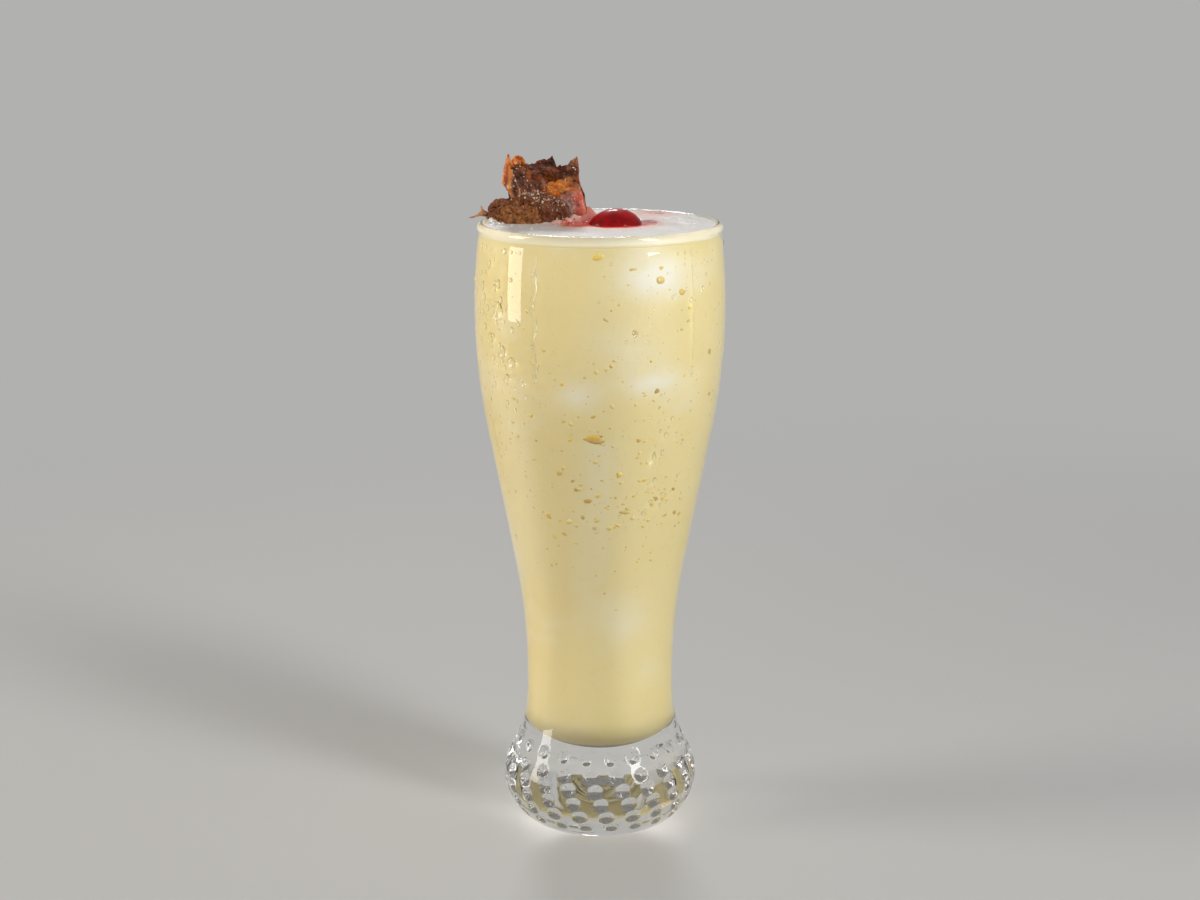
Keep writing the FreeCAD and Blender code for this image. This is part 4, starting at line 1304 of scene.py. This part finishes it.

# The sheets of the standing piece, in millimetres; heights are above the foam's edge.
# sides: height, left x, right x. crest: x, height. pits: x, height, size, depth.
# back, cup, skew, lean, roll, wrinkle, thick and grain are the amounts that petal names; charred
# is how scorched the top is. The zones' spots: x, height, width, tallness, amount. The dark
# zone's spots are scorched flesh, and painted shade in deep folds, between the tips and at the
# foot.
SHEETS = [
    {   # the outer tip on the left: thin, orange, curled
        "seed": 3, "sides": [(-1.5, -28.0, -24.0), (6.5, -28.4, -24.6), (9.0, -29.0, -25.0),
                             (11.5, -30.4, -25.6), (14.5, -31.3, -26.4), (16.8, -31.9, -27.0),
                             (19.5, -31.3, -27.6), (21.0, -30.7, -28.0), (22.8, -30.0, -28.9)],
        "crest": [(-32.2, 17.4), (-31.4, 19.4), (-30.7, 21.2), (-30.1, 22.4), (-29.4, 23.0),
                  (-29.0, 21.9), (-28.3, 20.6), (-27.2, 19.6)],
        "back": 5.2, "cup": -0.9, "lean": 0.4, "roll": -1.2, "wrinkle": 0.8, "thick": 0.5,
        "grain": 0.5, "pits": [(-29.0, 13.6, 1.1, 0.9), (-28.2, 10.4, 1.0, 0.9)],
        "orange_all": 0.95, "amber": [(-31.4, 15.6, 0.9, 1.6, 0.3)],
        # Painted shade in this tip's hollows and at its foot, as well as scorched flesh.
        "burnt": [(-28.1, 13.8, 0.9, 3.4, 0.8), (-27.3, 9.6, 1.0, 3.0, 0.8),
                  (-26.4, 15.4, 1.1, 2.4, 0.8), (-27.0, 3.5, 3.0, 4.0, 0.8)],
    },
    {   # the second tip
        "seed": 7, "sides": [(-1.5, -27.8, -20.0), (8.0, -28.2, -20.2), (14.0, -29.2, -20.8),
                             (18.0, -29.6, -21.8), (20.6, -29.4, -22.6), (22.6, -28.2, -24.4)],
        "crest": [(-29.8, 19.0), (-28.8, 20.4), (-28.2, 21.4), (-27.3, 22.3), (-26.2, 22.4),
                  (-25.2, 22.1), (-24.3, 21.2), (-23.5, 19.6), (-22.9, 18.2), (-21.6, 17.0),
                  (-20.0, 16.0)],
        "back": 7.8, "cup": 0.8, "lean": -0.6, "roll": -1.6, "wrinkle": 1.2, "thick": 0.8,
        "grain": 0.9, "pits": [(-25.2, 17.0, 1.1, 1.5), (-27.2, 15.4, 0.8, 1.2)],
        "orange": [(-26.6, 21.8, 2.8, 2.2, 1.3), (-24.4, 20.6, 1.6, 2.0, 1.1),
                   (-27.0, 19.0, 1.2, 1.8, 0.9)],
        "amber": [(-23.4, 17.8, 1.2, 2.0, 0.7)],
        "burnt": [(-25.4, 16.6, 1.2, 2.0, 0.9), (-28.0, 13.6, 1.7, 4.0, 0.7),
                  (-26.6, 18.4, 0.8, 1.4, 0.6)],
    },
    {   # the brown back with its ragged, rolled crest and the amber pocket
        "seed": 13, "sides": [(-2.0, -28.0, -4.4), (6.0, -29.0, -4.3), (12.0, -29.8, -4.9),
                              (15.5, -30.0, -6.2), (18.4, -29.8, -7.0), (21.9, -28.6, -8.0)],
        "crest": [(-30.2, 17.6), (-29.0, 18.8), (-27.4, 18.8), (-25.5, 18.8), (-23.6, 19.6),
                  (-22.7, 19.2), (-21.4, 19.6), (-20.4, 20.6), (-19.4, 20.9), (-18.1, 21.1),
                  (-17.1, 20.6), (-16.2, 21.4), (-15.4, 22.0), (-14.9, 20.7), (-14.4, 19.7),
                  (-13.9, 18.7), (-12.9, 19.3), (-11.9, 18.8), (-11.0, 19.2), (-9.0, 18.6),
                  (-7.0, 17.6)],
        "back": 9.8, "cup": 2.4, "lean": -0.6, "roll": -2.8, "wrinkle": 1.5, "thick": 1.3,
        "grain": 0.95, "charred": 0.24,
        "pits": [(-15.4, 12.0, 2.6, 1.7), (-18.6, 15.0, 2.2, 1.4), (-24.0, 12.0, 1.2, 0.9),
                 (-12.8, 16.0, 1.1, 1.0), (-20.0, 17.6, 0.8, 0.9), (-10.4, 16.2, 0.9, 0.8)],
        "amber": [(-13.4, 11.4, 2.3, 1.9, 1.3), (-14.9, 9.9, 1.6, 1.2, 0.9),
                  (-10.6, 13.8, 1.5, 1.5, 1.2), (-17.0, 14.2, 2.6, 1.7, 0.30)],
        "salmon": [(-18.4, 18.2, 2.6, 0.8, 0.25), (-14.2, 17.6, 1.6, 0.8, 0.25)],
        # Scorched crest and folds, with painted shade in the gap beside the tips and at the foot.
        "burnt": [(-24.6, 13.4, 1.3, 3.4, 0.7), (-21.6, 12.4, 3.6, 2.6, 0.5),
                  (-15.0, 20.6, 1.0, 1.7, 1.0), (-17.0, 19.6, 1.6, 0.9, 0.8),
                  (-21.0, 18.6, 2.0, 0.8, 0.8),
                  (-12.4, 18.0, 1.8, 0.9, 0.9), (-16.6, 8.6, 1.6, 1.0, 0.7),
                  (-17.6, 17.0, 3.0, 0.7, 0.5), (-18.0, 1.0, 6.0, 4.0, 0.55),
                  (-28.4, 12.4, 1.8, 6.0, 0.8)],
    },
    {   # the right wing: a spike, then an edge that runs down into the foam
        "seed": 19, "sides": [(-2.0, -11.0, -3.4), (3.0, -11.0, -3.9), (7.0, -11.6, -4.2),
                              (9.2, -12.0, -4.3), (11.4, -12.0, -4.8), (13.7, -11.8, -5.5),
                              (16.4, -12.0, -6.3), (18.4, -12.2, -6.8), (20.4, -11.6, -7.1),
                              (21.7, -9.4, -7.4)],
        "crest": [(-12.4, 18.0), (-11.4, 18.8), (-10.2, 20.0), (-8.8, 20.8), (-7.6, 21.8),
                  (-7.1, 20.6), (-6.8, 18.6), (-6.3, 16.6), (-5.5, 13.8), (-4.6, 10.6)],
        "back": 7.0, "cup": -1.0, "skew": 1.2, "lean": 0.3, "roll": -0.8, "wrinkle": 1.1,
        "thick": 0.9, "grain": 0.6, "charred": 0.18,
        "pits": [(-7.6, 6.0, 1.2, 0.9), (-8.6, 17.0, 1.3, 0.9)],
        "amber_all": 0.30, "amber": [(-10.4, 13.4, 1.6, 1.4, 0.9), (-6.0, 12.4, 1.4, 3.0, 0.5)],
        "orange": [(-4.7, 9.0, 0.7, 4.4, 0.7), (-7.2, 20.4, 0.7, 1.6, 0.6)],
        "salmon": [(-7.3, 7.6, 2.3, 3.2, 1.7), (-6.0, 3.4, 2.2, 2.4, 1.1)],
        "milky": [(-10.8, 5.6, 1.6, 4.6, 1.0), (-8.6, 1.0, 3.4, 1.6, 0.9)],
        "burnt": [(-8.8, 18.0, 1.7, 1.6, 0.55), (-6.4, 2.0, 0.7, 1.0, 0.8)],
    },
    {   # the thick glazed lip under the pocket
        "seed": 29, "sides": [(-1.5, -17.0, -9.4), (4.0, -17.0, -8.8), (7.6, -16.4, -8.4),
                              (9.8, -15.4, -8.8)],
        "crest": [(-17.4, 6.0), (-15.8, 7.8), (-13.8, 9.4), (-12.4, 9.8), (-10.8, 9.2),
                  (-9.2, 9.6), (-8.2, 8.2)],
        "back": 6.9, "cup": 1.6, "lean": 0.6, "roll": 0.5, "wrinkle": 1.2, "thick": 1.2,
        "grain": 0.7, "amber": [(-13.4, 9.4, 2.2, 1.0, 0.9)],
        "salmon": [(-11.6, 8.4, 2.0, 1.0, 0.3)], "milky": [(-10.2, 4.6, 2.0, 4.8, 1.0)],
        "burnt": [(-14.6, 4.0, 2.6, 4.4, 0.75)],
    },
]

# From point to point on a lump, in millimetres.
LUMP_GRID = 0.162
# The crumbly lumps: x, y and height of the middle, half-sizes in millimetres, darkness, gold.
LUMPS = [
    (-28.6, 2.8, 1.6, 4.8, 3.6, 4.4, 0.0, 1.0), (-23.2, 2.6, 1.4, 5.2, 3.7, 4.9, 0.0, 1.0),
    (-31.8, 5.4, 4.6, 4.0, 2.8, 3.4, 0.2, 0.15), (-27.6, 6.4, 5.6, 4.2, 3.0, 3.2, 0.35, 0.0),
    (-34.4, 4.4, 2.2, 1.9, 2.4, 3.0, 0.3, 0.1), (-23.2, 6.0, 6.4, 4.4, 3.0, 3.4, 0.35, 0.3),
    (-17.4, 4.0, 2.6, 4.0, 3.4, 5.4, 0.6, 0.0), (-13.4, 4.8, 2.2, 3.0, 3.0, 5.2, 0.7, 0.0),
    (-19.6, 6.4, 7.4, 4.2, 2.6, 3.2, 0.5, 0.0),
]


class MakeSheets(Operator):
    """Make the standing sheets of candied pineapple"""
    bl_idname = "pina.sheets"
    bl_label = "Candied sheets"

    def execute(self, context):
        fruit = context.scene.pina_fruit
        shapes = [petal(sheet) for sheet in SHEETS]
        vertices, faces = joined([shape[:2] for shape in shapes])
        zones = {zone: np.concatenate([shape[2][zone] for shape in shapes])
                 for zone in ZONES}
        add_piece("pineapple_sheets", (vertices, faces), candied_material(fruit),
                  "dried_pineapple", attributes=zones, merge=True)
        return {"FINISHED"}


def lump_surface(lump, seed):
    """A crumbly lump: an ellipsoid whose points stand out by large, middling and fine grains."""
    middle = above_foam(lump[:3])
    half = np.array(lump[3:6]) * MM
    rows = int(math.pi * np.mean(lump[3:6]) / LUMP_GRID)
    columns = 2 * rows
    down = np.linspace(-math.pi / 2, math.pi / 2, rows)[:, None]
    turn = full_turn(columns)
    ball = np.stack([np.cos(down) * np.sin(turn), -np.cos(down) * np.cos(turn),
                     np.sin(down) + 0 * turn], -1)
    base = middle + ball * half
    # Bending the lattice keeps the grains from lining up.
    bent = base + 0.7 * MM * np.stack([noise(base, 1.7 * MM, seed + k) for k in range(3)], -1)
    large = grains(bent, 3.4 * MM, seed) - 0.62
    middling = grains(bent, 1.05 * MM, seed + 5) - 0.62
    fine = grains(base, 0.5 * MM, seed + 9) - 0.62
    stand = 1.2 * MM * large + 0.85 * MM * middling + 0.36 * MM * fine
    # crest is painted shade by height: near 1 on the grains' tops and 0 in the pits between them,
    # lower on darker lumps.
    crest = 0.55 + 0.5 * large + 1.2 * middling + 0.8 * fine
    crest = np.clip(crest * (1 - 0.75 * lump[6]), 0, 1)
    rings = base + ball * stand[..., None]
    vertices, faces = closed_rings(rings[1:-1], rings[0].mean(0), rings[-1].mean(0))
    level = np.concatenate([crest[1:-1].ravel(), [0.5, 0.5]])
    return vertices, faces, level


class MakeLumps(Operator):
    """Make the crumbly lumps of dry pineapple at the foot"""
    bl_idname = "pina.lumps"
    bl_label = "Crumbly lumps"

    def execute(self, context):
        fruit = context.scene.pina_fruit
        shapes = [lump_surface(lump, 50 + 7 * number) for number, lump in enumerate(LUMPS)]
        vertices, faces = joined([shape[:2] for shape in shapes])
        golden = [np.full(len(shape[0]), lump[7]) for shape, lump in zip(shapes, LUMPS)]
        add_piece("pineapple_lumps", (vertices, faces), crumb_material(fruit),
                  attributes={"crest": np.concatenate([shape[2] for shape in shapes]),
                              "golden": np.concatenate(golden)})
        return {"FINISHED"}


def on_lumps(rng, number, lumps):
    """Random points on the upper, outer side of the lumps, with their outward directions."""
    chosen = np.array(lumps)[rng.integers(len(lumps), size=number)]
    direction = rng.normal(size=(number, 3))
    direction[:, 2] = np.abs(direction[:, 2]) * 0.8
    direction[:, 1] -= 0.35
    direction /= np.linalg.norm(direction, axis=1, keepdims=True)
    return above_foam(chosen[:, :3] + direction * chosen[:, 3:6]), direction


class MakeFibres(Operator):
    """Make the stray splinter over the rim and the short dry fibres"""
    bl_idname = "pina.fibres"
    bl_label = "Fibres"

    def execute(self, context):
        fruit = context.scene.pina_fruit
        rng = np.random.default_rng(61)
        t = np.linspace(0, 1, 40)
        root = above_foam([-33.8, 4.6, 3.2])
        # The splinter leaves the lump, swells at a torn knot and ends in a thin pale point.
        path = root + np.stack([-8.9 * t, -0.8 * t, 0.9 * bell(t - 0.48, 0.22) - 0.9 * t,
                                ], -1) * MM
        radii = (0.62 * (1 - t) ** 0.6 + 0.55 * bell(t - 0.46, 0.13) + 0.07
                 + 0.10 * np.sin(23 * t) * (1 - t)) * MM
        parts = [tube(path, radii, 14)]
        knot = path[18]
        path = knot + np.stack([-0.7 * t, 0.2 * t, 2.5 * t], -1) * MM
        parts.append(tube(path, (0.66 * (1 - t) ** 0.7 + 0.08) * MM, 10))
        path = root + np.stack([-0.4 - 3.0 * t, -0.9 - 0.5 * t, -0.9 + 0.4 * t], -1) * MM
        parts.append(tube(path, (0.62 * (1 - t) ** 0.5 + 0.08) * MM, 10))
        points, directions = on_lumps(rng, fruit.fibre_count, LUMPS)
        t = np.linspace(0, 1, 6)[:, None]
        for point, direction in zip(points, directions):
            sideways = np.cross(direction, rng.normal(size=3))
            size = rng.uniform(0.7, 1.9) * MM
            curve = point + size * (direction * (0.6 * t - 0.35) + sideways * (0.9 * t ** 2 - 0.1))
            parts.append(tube(curve, rng.uniform(0.05, 0.11) * MM * (1.1 - 0.8 * t[:, 0]), 5))
        add_piece("pineapple_fibres", joined(parts), straw_material(fruit))
        return {"FINISHED"}


class MakeCrumbs(Operator):
    """Make the loose crumbs on the lumps and on the foam beside them"""
    bl_idname = "pina.crumbs"
    bl_label = "Crumbs"

    def execute(self, context):
        fruit = context.scene.pina_fruit
        foam = context.scene.pina_foam
        rng = np.random.default_rng(71)
        on_foam = fruit.crumb_count // 5
        point, _ = on_lumps(rng, fruit.crumb_count - on_foam, LUMPS)
        x = rng.uniform(-35, -8, on_foam) * MM
        y = (2.2 - 3.2 * rng.random(on_foam) ** 1.6) * MM
        loose = np.stack([x, y, foam_height(x, y, foam) + 0.1 * MM], -1)
        centres = np.concatenate([point, loose])
        size = (0.18 + 0.5 * rng.random(len(centres)) ** 2.2) * MM
        axes = tumbled(rng, size, 0.5, 1.2)
        ball = unit_ball(2)
        shape = uneven_balls(ball, centres, axes, lambda spots: 0.5 * noise(spots, 0.3 * MM, 73))
        crest = np.repeat(rng.uniform(0.1, 1.0, len(centres)), len(ball[0]))
        add_piece("pineapple_crumbs", shape, crumb_material(fruit),
                  attributes={"crest": crest, "golden": crest[::-1]})
        return {"FINISHED"}


class MakeCrystals(Operator):
    """Make the sugar crystals on the flesh between the lumps and the crest"""
    bl_idname = "pina.crystals"
    bl_label = "Sugar crystals"

    def execute(self, context):
        fruit = context.scene.pina_fruit
        rng = np.random.default_rng(83)
        spots = []
        for name in ("pineapple_sheets", "pineapple_lumps"):
            mesh = bpy.data.objects[name].data
            points, outward = np.empty((2, len(mesh.vertices), 3))
            mesh.vertices.foreach_get("co", points.ravel())
            mesh.vertices.foreach_get("normal", outward.ravel())
            spots.append(points[(outward[:, 1] < -0.15) | (outward[:, 2] > 0.6)])
        spots = np.concatenate(spots)
        x, y, rise = spots.T / MM - np.array([[0], [0], [FOAM_EDGE / MM]])
        # Most lie in a band that falls from left to right; the rest are all over.
        weight = bell(rise - 10.0 + 0.45 * (x + 22), 2.4) * bell(x + 21, 6.5) + 0.03
        weight *= bell(y - 3.5, 4.5)
        chosen = rng.choice(len(spots), fruit.crystal_count, replace=False,
                            p=weight / weight.sum())
        centres = spots[chosen]
        size = (0.10 + 0.26 * rng.random(len(centres)) ** 2.2) * MM
        shape = scattered(unit_ball(1), centres, tumbled(rng, size, 0.6, 1.3))
        piece = add_piece("sugar_crystals", shape, crystal_material())
        piece.data.polygons.foreach_set("use_smooth", np.zeros(len(piece.data.polygons), bool))
        return {"FINISHED"}


# Drops of clear candied syrup: x, y, height above the foam's edge, and half-sizes.
GLAZE = [
    (-14.0, 7.5, 11.3, 2.5, 1.1, 1.6), (-12.6, 7.2, 13.0, 1.7, 1.0, 1.1),
    (-10.0, 6.6, 14.2, 1.5, 0.9, 1.1), (-15.8, 7.9, 12.6, 1.3, 0.8, 0.9),
    (-9.0, 6.2, 11.4, 1.8, 0.7, 0.5),
]


class MakeGlaze(Operator):
    """Make the drops of clear candied syrup: rounded blobs with an uneven skin"""
    bl_idname = "pina.glaze"
    bl_label = "Candied drops"

    def execute(self, context):
        fruit = context.scene.pina_fruit
        drops = np.array(GLAZE)
        axes = drops[:, 3:, None] * MM * np.eye(3)[None]
        shape = uneven_balls(unit_ball(5), above_foam(drops[:, :3]), axes,
                             lambda spots: 0.55 * layered(spots, 2.3 * MM, 4, 91))
        add_piece("candied_drops", shape, glaze_material(fruit))
        return {"FINISHED"}


# Condensation is given in degrees round the glass and in millimetres.
# Beads: turn and height of the middle, spread of each, how many, and the half-sizes' range.
DEW_AREAS = [
    (-57, 178, 8, 12, 80, 0.25, 1.1), (-50, 160, 10, 12, 70, 0.2, 0.9),
    (22, 172, 8, 8, 22, 0.25, 0.8), (30, 117, 11, 4, 24, 0.25, 0.75),
    (34, 138, 9, 10, 24, 0.25, 0.7), (-62, 128, 8, 10, 16, 0.2, 0.6),
    (48, 190, 12, 6, 12, 0.2, 0.7), (140, 168, 40, 22, 70, 0.2, 0.9),
    (-140, 160, 36, 26, 60, 0.2, 0.9), (85, 150, 26, 30, 34, 0.2, 0.8),
]
# The beads' limits of height.
DEW_LOWEST, DEW_HIGHEST = 70, 196
# The large drops: turn, height, half-width, half-height, thickness.
DEW_LARGE = [
    (-51.5, 177.1, 2.3, 3.0, 1.5), (-43.5, 161.5, 1.8, 1.6, 1.1), (-49.0, 164.5, 1.3, 2.0, 1.0),
    (-47.0, 156.0, 1.2, 1.4, 0.9), (-55.0, 184.0, 1.1, 1.3, 0.8), (-38.0, 155.2, 1.1, 1.2, 0.8),
    (-58.0, 168.0, 1.2, 1.6, 0.9), (28.0, 131.0, 0.7, 2.3, 0.8), (33.5, 138.5, 0.7, 1.1, 0.6),
    (30.0, 123.5, 0.7, 1.0, 0.6), (120.0, 170.0, 1.8, 2.4, 1.1), (-150.0, 150.0, 1.7, 2.1, 0.8),
]
# Trickles: turn, top, bottom, half-width of the track and how much it wanders.
TRICKLES = [
    (-30.4, 196.0, 155.5, 0.85, 0.8), (46.0, 198.5, 161.9, 0.40, 0.08),
    (-66.0, 150.0, 118.0, 0.35, 0.3), (165.0, 190.0, 140.0, 0.40, 0.4),
]


def wall_drops(glass, dew, drops):
    """Middles and axes of flattened drops on the wall, from their rows in degrees and mm."""
    turn, height, wide, tall, thick = drops
    point, out, side, up = wall_frame(glass, np.radians(turn), height * MM)
    axes = [wide[:, None] * MM * side, tall[:, None] * MM * up, thick[:, None] * MM * out]
    return point - out * dew.sink, np.stack(axes, 1)


def trickle(row, seed, glass, dew):
    """A track of water that wanders down the wall and swells at its foot."""
    mid_turn, top, bottom, wide, wander = row
    steps, sides = 160, 12
    level = np.linspace(top, bottom, steps)
    spots = np.stack([level, 0 * level, 0 * level], -1)
    sway = wander * (layered(spots, 6.0, 3, seed + 1) + 0.5 * noise(spots, 1.6, seed + 3))
    turn = np.radians(mid_turn) + sway * MM / glass.rim_radius
    point, out, side, _ = wall_frame(glass, turn, level * MM)
    swell = 0.55 + 0.45 * np.abs(noise(spots, 2.2, seed + 4))
    swell = swell + 0.9 * bell(level - bottom - 1.2, 1.3)
    swell = swell * np.sqrt(np.clip(np.sin(np.linspace(0, math.pi, steps)) * 3, 0.02, 1))
    around = full_turn(sides)[None, :, None]
    width = (wide * MM * swell)[:, None, None]
    return closed_rings(point[:, None] - dew.sink * out[:, None]
                        + width * (side[:, None] * np.cos(around)
                                   - 0.9 * out[:, None] * np.sin(around)))


class MakeDew(Operator):
    """Make the condensation: mist, beads, large drops and trickles on the outside"""
    bl_idname = "pina.dew"
    bl_label = "Condensation"

    def execute(self, context):
        glass = context.scene.pina_glass
        dew = context.scene.pina_dew
        rng = np.random.default_rng(97)
        rows = []
        for mid_turn, mid_height, turn_wide, height_wide, number, small, big in DEW_AREAS:
            size = small + (big - small) * rng.random(number) ** 3
            rows.append([mid_turn + turn_wide * rng.normal(size=number),
                         mid_height + height_wide * rng.normal(size=number), size,
                         size * rng.uniform(0.9, 1.5, number),
                         size * rng.uniform(0.5, 0.8, number)])
        number = dew.mist_count
        size = 0.10 + 0.22 * rng.random(number) ** 2
        rows.append([rng.uniform(-180, 180, number), 112 + 84 * rng.random(number) ** 0.8, size,
                     size * rng.uniform(0.9, 1.2, number), size * 0.45])
        beads = np.concatenate(rows, axis=1)
        beads[1] = np.clip(beads[1], DEW_LOWEST, DEW_HIGHEST)
        water = water_material()
        place = wall_drops(glass, dew, beads)
        add_piece("dew_beads", scattered(unit_ball(2), *place), water)

        point, axes = wall_drops(glass, dew, np.array(DEW_LARGE).T)
        ball, triangles = unit_ball(4)
        # A drop hangs: narrower above its middle and fuller below it.
        hung = ball.copy()
        hung[:, 0] *= 1 - 0.28 * ball[:, 1]
        hung[:, 2] *= 1 - 0.35 * ball[:, 1]
        add_piece("dew_drops", scattered((hung, triangles), point, axes), water)

        parts = [trickle(row, 5 * number, glass, dew) for number, row in enumerate(TRICKLES)]
        add_piece("dew_trickles", joined(parts), water, merge=True)
        return {"FINISHED"}


# The lamps: name, place, width and height, colour, and the setting that holds the power.
LAMPS = [
    ("key_lamp", (0.72, -0.62, 0.62), (0.22, 0.8), (0.98, 0.99, 1.0), "key_power"),
    ("fill_lamp", (-0.95, -0.12, 0.42), (0.30, 0.9), (1.0, 0.94, 0.85), "fill_power"),
    ("back_lamp", (-0.05, 0.85, 0.78), (0.22, 0.14), (1.0, 1.0, 1.0), "back_power"),
]
LAMP_TARGET = (0, 0, 0.11)
SENSOR_WIDTH = 36.0


def lamp(name, place, size, tint, power):
    """A large soft lamp that faces the lamps' target."""
    light = bpy.data.lights.new(name, "AREA")
    light.shape = "RECTANGLE"
    light.size, light.size_y = size
    light.energy = power
    light.color = tint
    lit = bpy.data.objects.new(name, light)
    lit.location = place
    x, y, z = np.array(LAMP_TARGET) - np.array(place)
    lit.rotation_euler = (math.atan2(math.hypot(x, y), -z), 0, math.atan2(-x, y))
    bpy.context.scene.collection.objects.link(lit)


def seen_rays(tree):
    """1 for what is seen straight, in a reflection or through glass, and 0 for what lights."""
    path = add_node(tree, "LightPath").outputs
    seen = arithmetic(tree, "ADD", path["Is Camera Ray"], path["Is Glossy Ray"])
    return arithmetic(tree, "ADD", seen, path["Is Transmission Ray"])


def floor_material(stage):
    """Plain pale floor that is seen as the even backdrop from some way off."""
    material, tree = new_material("Studio floor")
    away = add_node(tree, "VectorMath", operation="LENGTH")
    feed(tree, away.inputs[0], add_node(tree, "TexCoord").outputs["Object"])
    far = add_node(tree, "MapRange", interpolation_type="SMOOTHSTEP", From_Min=stage.floor_near,
                   From_Max=stage.floor_far, Value=away.outputs["Value"])
    mix_surface(tree, times(tree, far.outputs[0], seen_rays(tree)),
                tree.nodes["Principled BSDF"],
                add_node(tree, "Emission", Color=stage.backdrop))
    return finished(material, Roughness=0.6, Specular_IOR_Level=0.15,
                    Base_Color=blend(tree, patches(tree, 3.0, 0.3, 0.7), stage.floor,
                                     scaled(stage.floor, 0.985)))


def studio_world(stage):
    """Dim surroundings that light the object, seen as the paler backdrop."""
    world = bpy.data.worlds.new("Studio")
    world.use_nodes = True
    tree = world.node_tree
    light = tree.nodes["Background"]
    fill(tree, light, {"Color": stage.world, "Strength": stage.world_strength})
    mix_surface(tree, seen_rays(tree), light, add_node(tree, "Background", Color=stage.backdrop),
                "World Output")
    return world


class MakeStage(Operator):
    """Make the floor, the lamps, the surroundings and the camera"""
    bl_idname = "pina.stage"
    bl_label = "Stage"

    def execute(self, context):
        scene = context.scene
        stage = scene.pina_stage
        reach = stage.floor_reach
        corners = [(-reach, -reach, 0), (reach, -reach, 0), (reach, reach, 0), (-reach, reach, 0)]
        mesh = bpy.data.meshes.new("studio_floor")
        mesh.from_pydata(corners, [], [(0, 1, 2, 3)])
        mesh.materials.append(floor_material(stage))
        floor = bpy.data.objects.new("studio_floor", mesh)
        scene.collection.objects.link(floor)

        scene.world = studio_world(stage)
        for name, place, size, tint, power in LAMPS:
            lamp(name, place, size, tint, getattr(stage, power))

        camera = bpy.data.cameras.new("camera")
        camera.lens = stage.lens
        camera.sensor_width = SENSOR_WIDTH
        seen = bpy.data.objects.new("camera", camera)
        seen.location = (0, -stage.camera_distance, stage.camera_height)
        seen.rotation_euler = (math.pi / 2 - stage.camera_pitch, 0, 0)
        scene.collection.objects.link(seen)
        scene.camera = seen
        scene.view_settings.view_transform = "Standard"
        return {"FINISHED"}


class PinaPanel(Panel):
    """The pieces of the drink, each with a button that makes it"""
    bl_idname = "VIEW3D_PT_pina_colada"
    bl_label = "Pina Colada"
    bl_space_type = "VIEW_3D"
    bl_region_type = "UI"
    bl_category = "Pina Colada"

    def draw(self, context):
        for operator in OPERATORS:
            self.layout.operator(operator.bl_idname)


SETTINGS = {
    "pina_glass": GlassSettings, "pina_drink": DrinkSettings, "pina_foam": FoamSettings,
    "pina_cherry": CherrySettings, "pina_fruit": FruitSettings, "pina_dew": DewSettings,
    "pina_stage": StageSettings,
}
OPERATORS = [
    MakeStage, MakeGlass, MakeDrink, MakePulp, MakeFoam, MakeBubbles, MakeCherry, MakeSyrup,
    MakeSheets, MakeLumps, MakeGlaze, MakeFibres, MakeCrumbs, MakeCrystals, MakeDew,
]


def register():
    """Register the settings, the operators and the panel."""
    for name, group in SETTINGS.items():
        bpy.utils.register_class(group)
        setattr(bpy.types.Scene, name, PointerProperty(type=group))
    for operator in OPERATORS:
        bpy.utils.register_class(operator)
    bpy.utils.register_class(PinaPanel)


def unregister():
    """Take the panel, the operators and the settings away again."""
    bpy.utils.unregister_class(PinaPanel)
    for operator in reversed(OPERATORS):
        bpy.utils.unregister_class(operator)
    for name, group in reversed(SETTINGS.items()):
        delattr(bpy.types.Scene, name)
        bpy.utils.unregister_class(group)


def main():
    register()
    for operator in OPERATORS:
        group, name = operator.bl_idname.split(".")
        getattr(getattr(bpy.ops, group), name)()


if __name__ == "__main__":
    main()
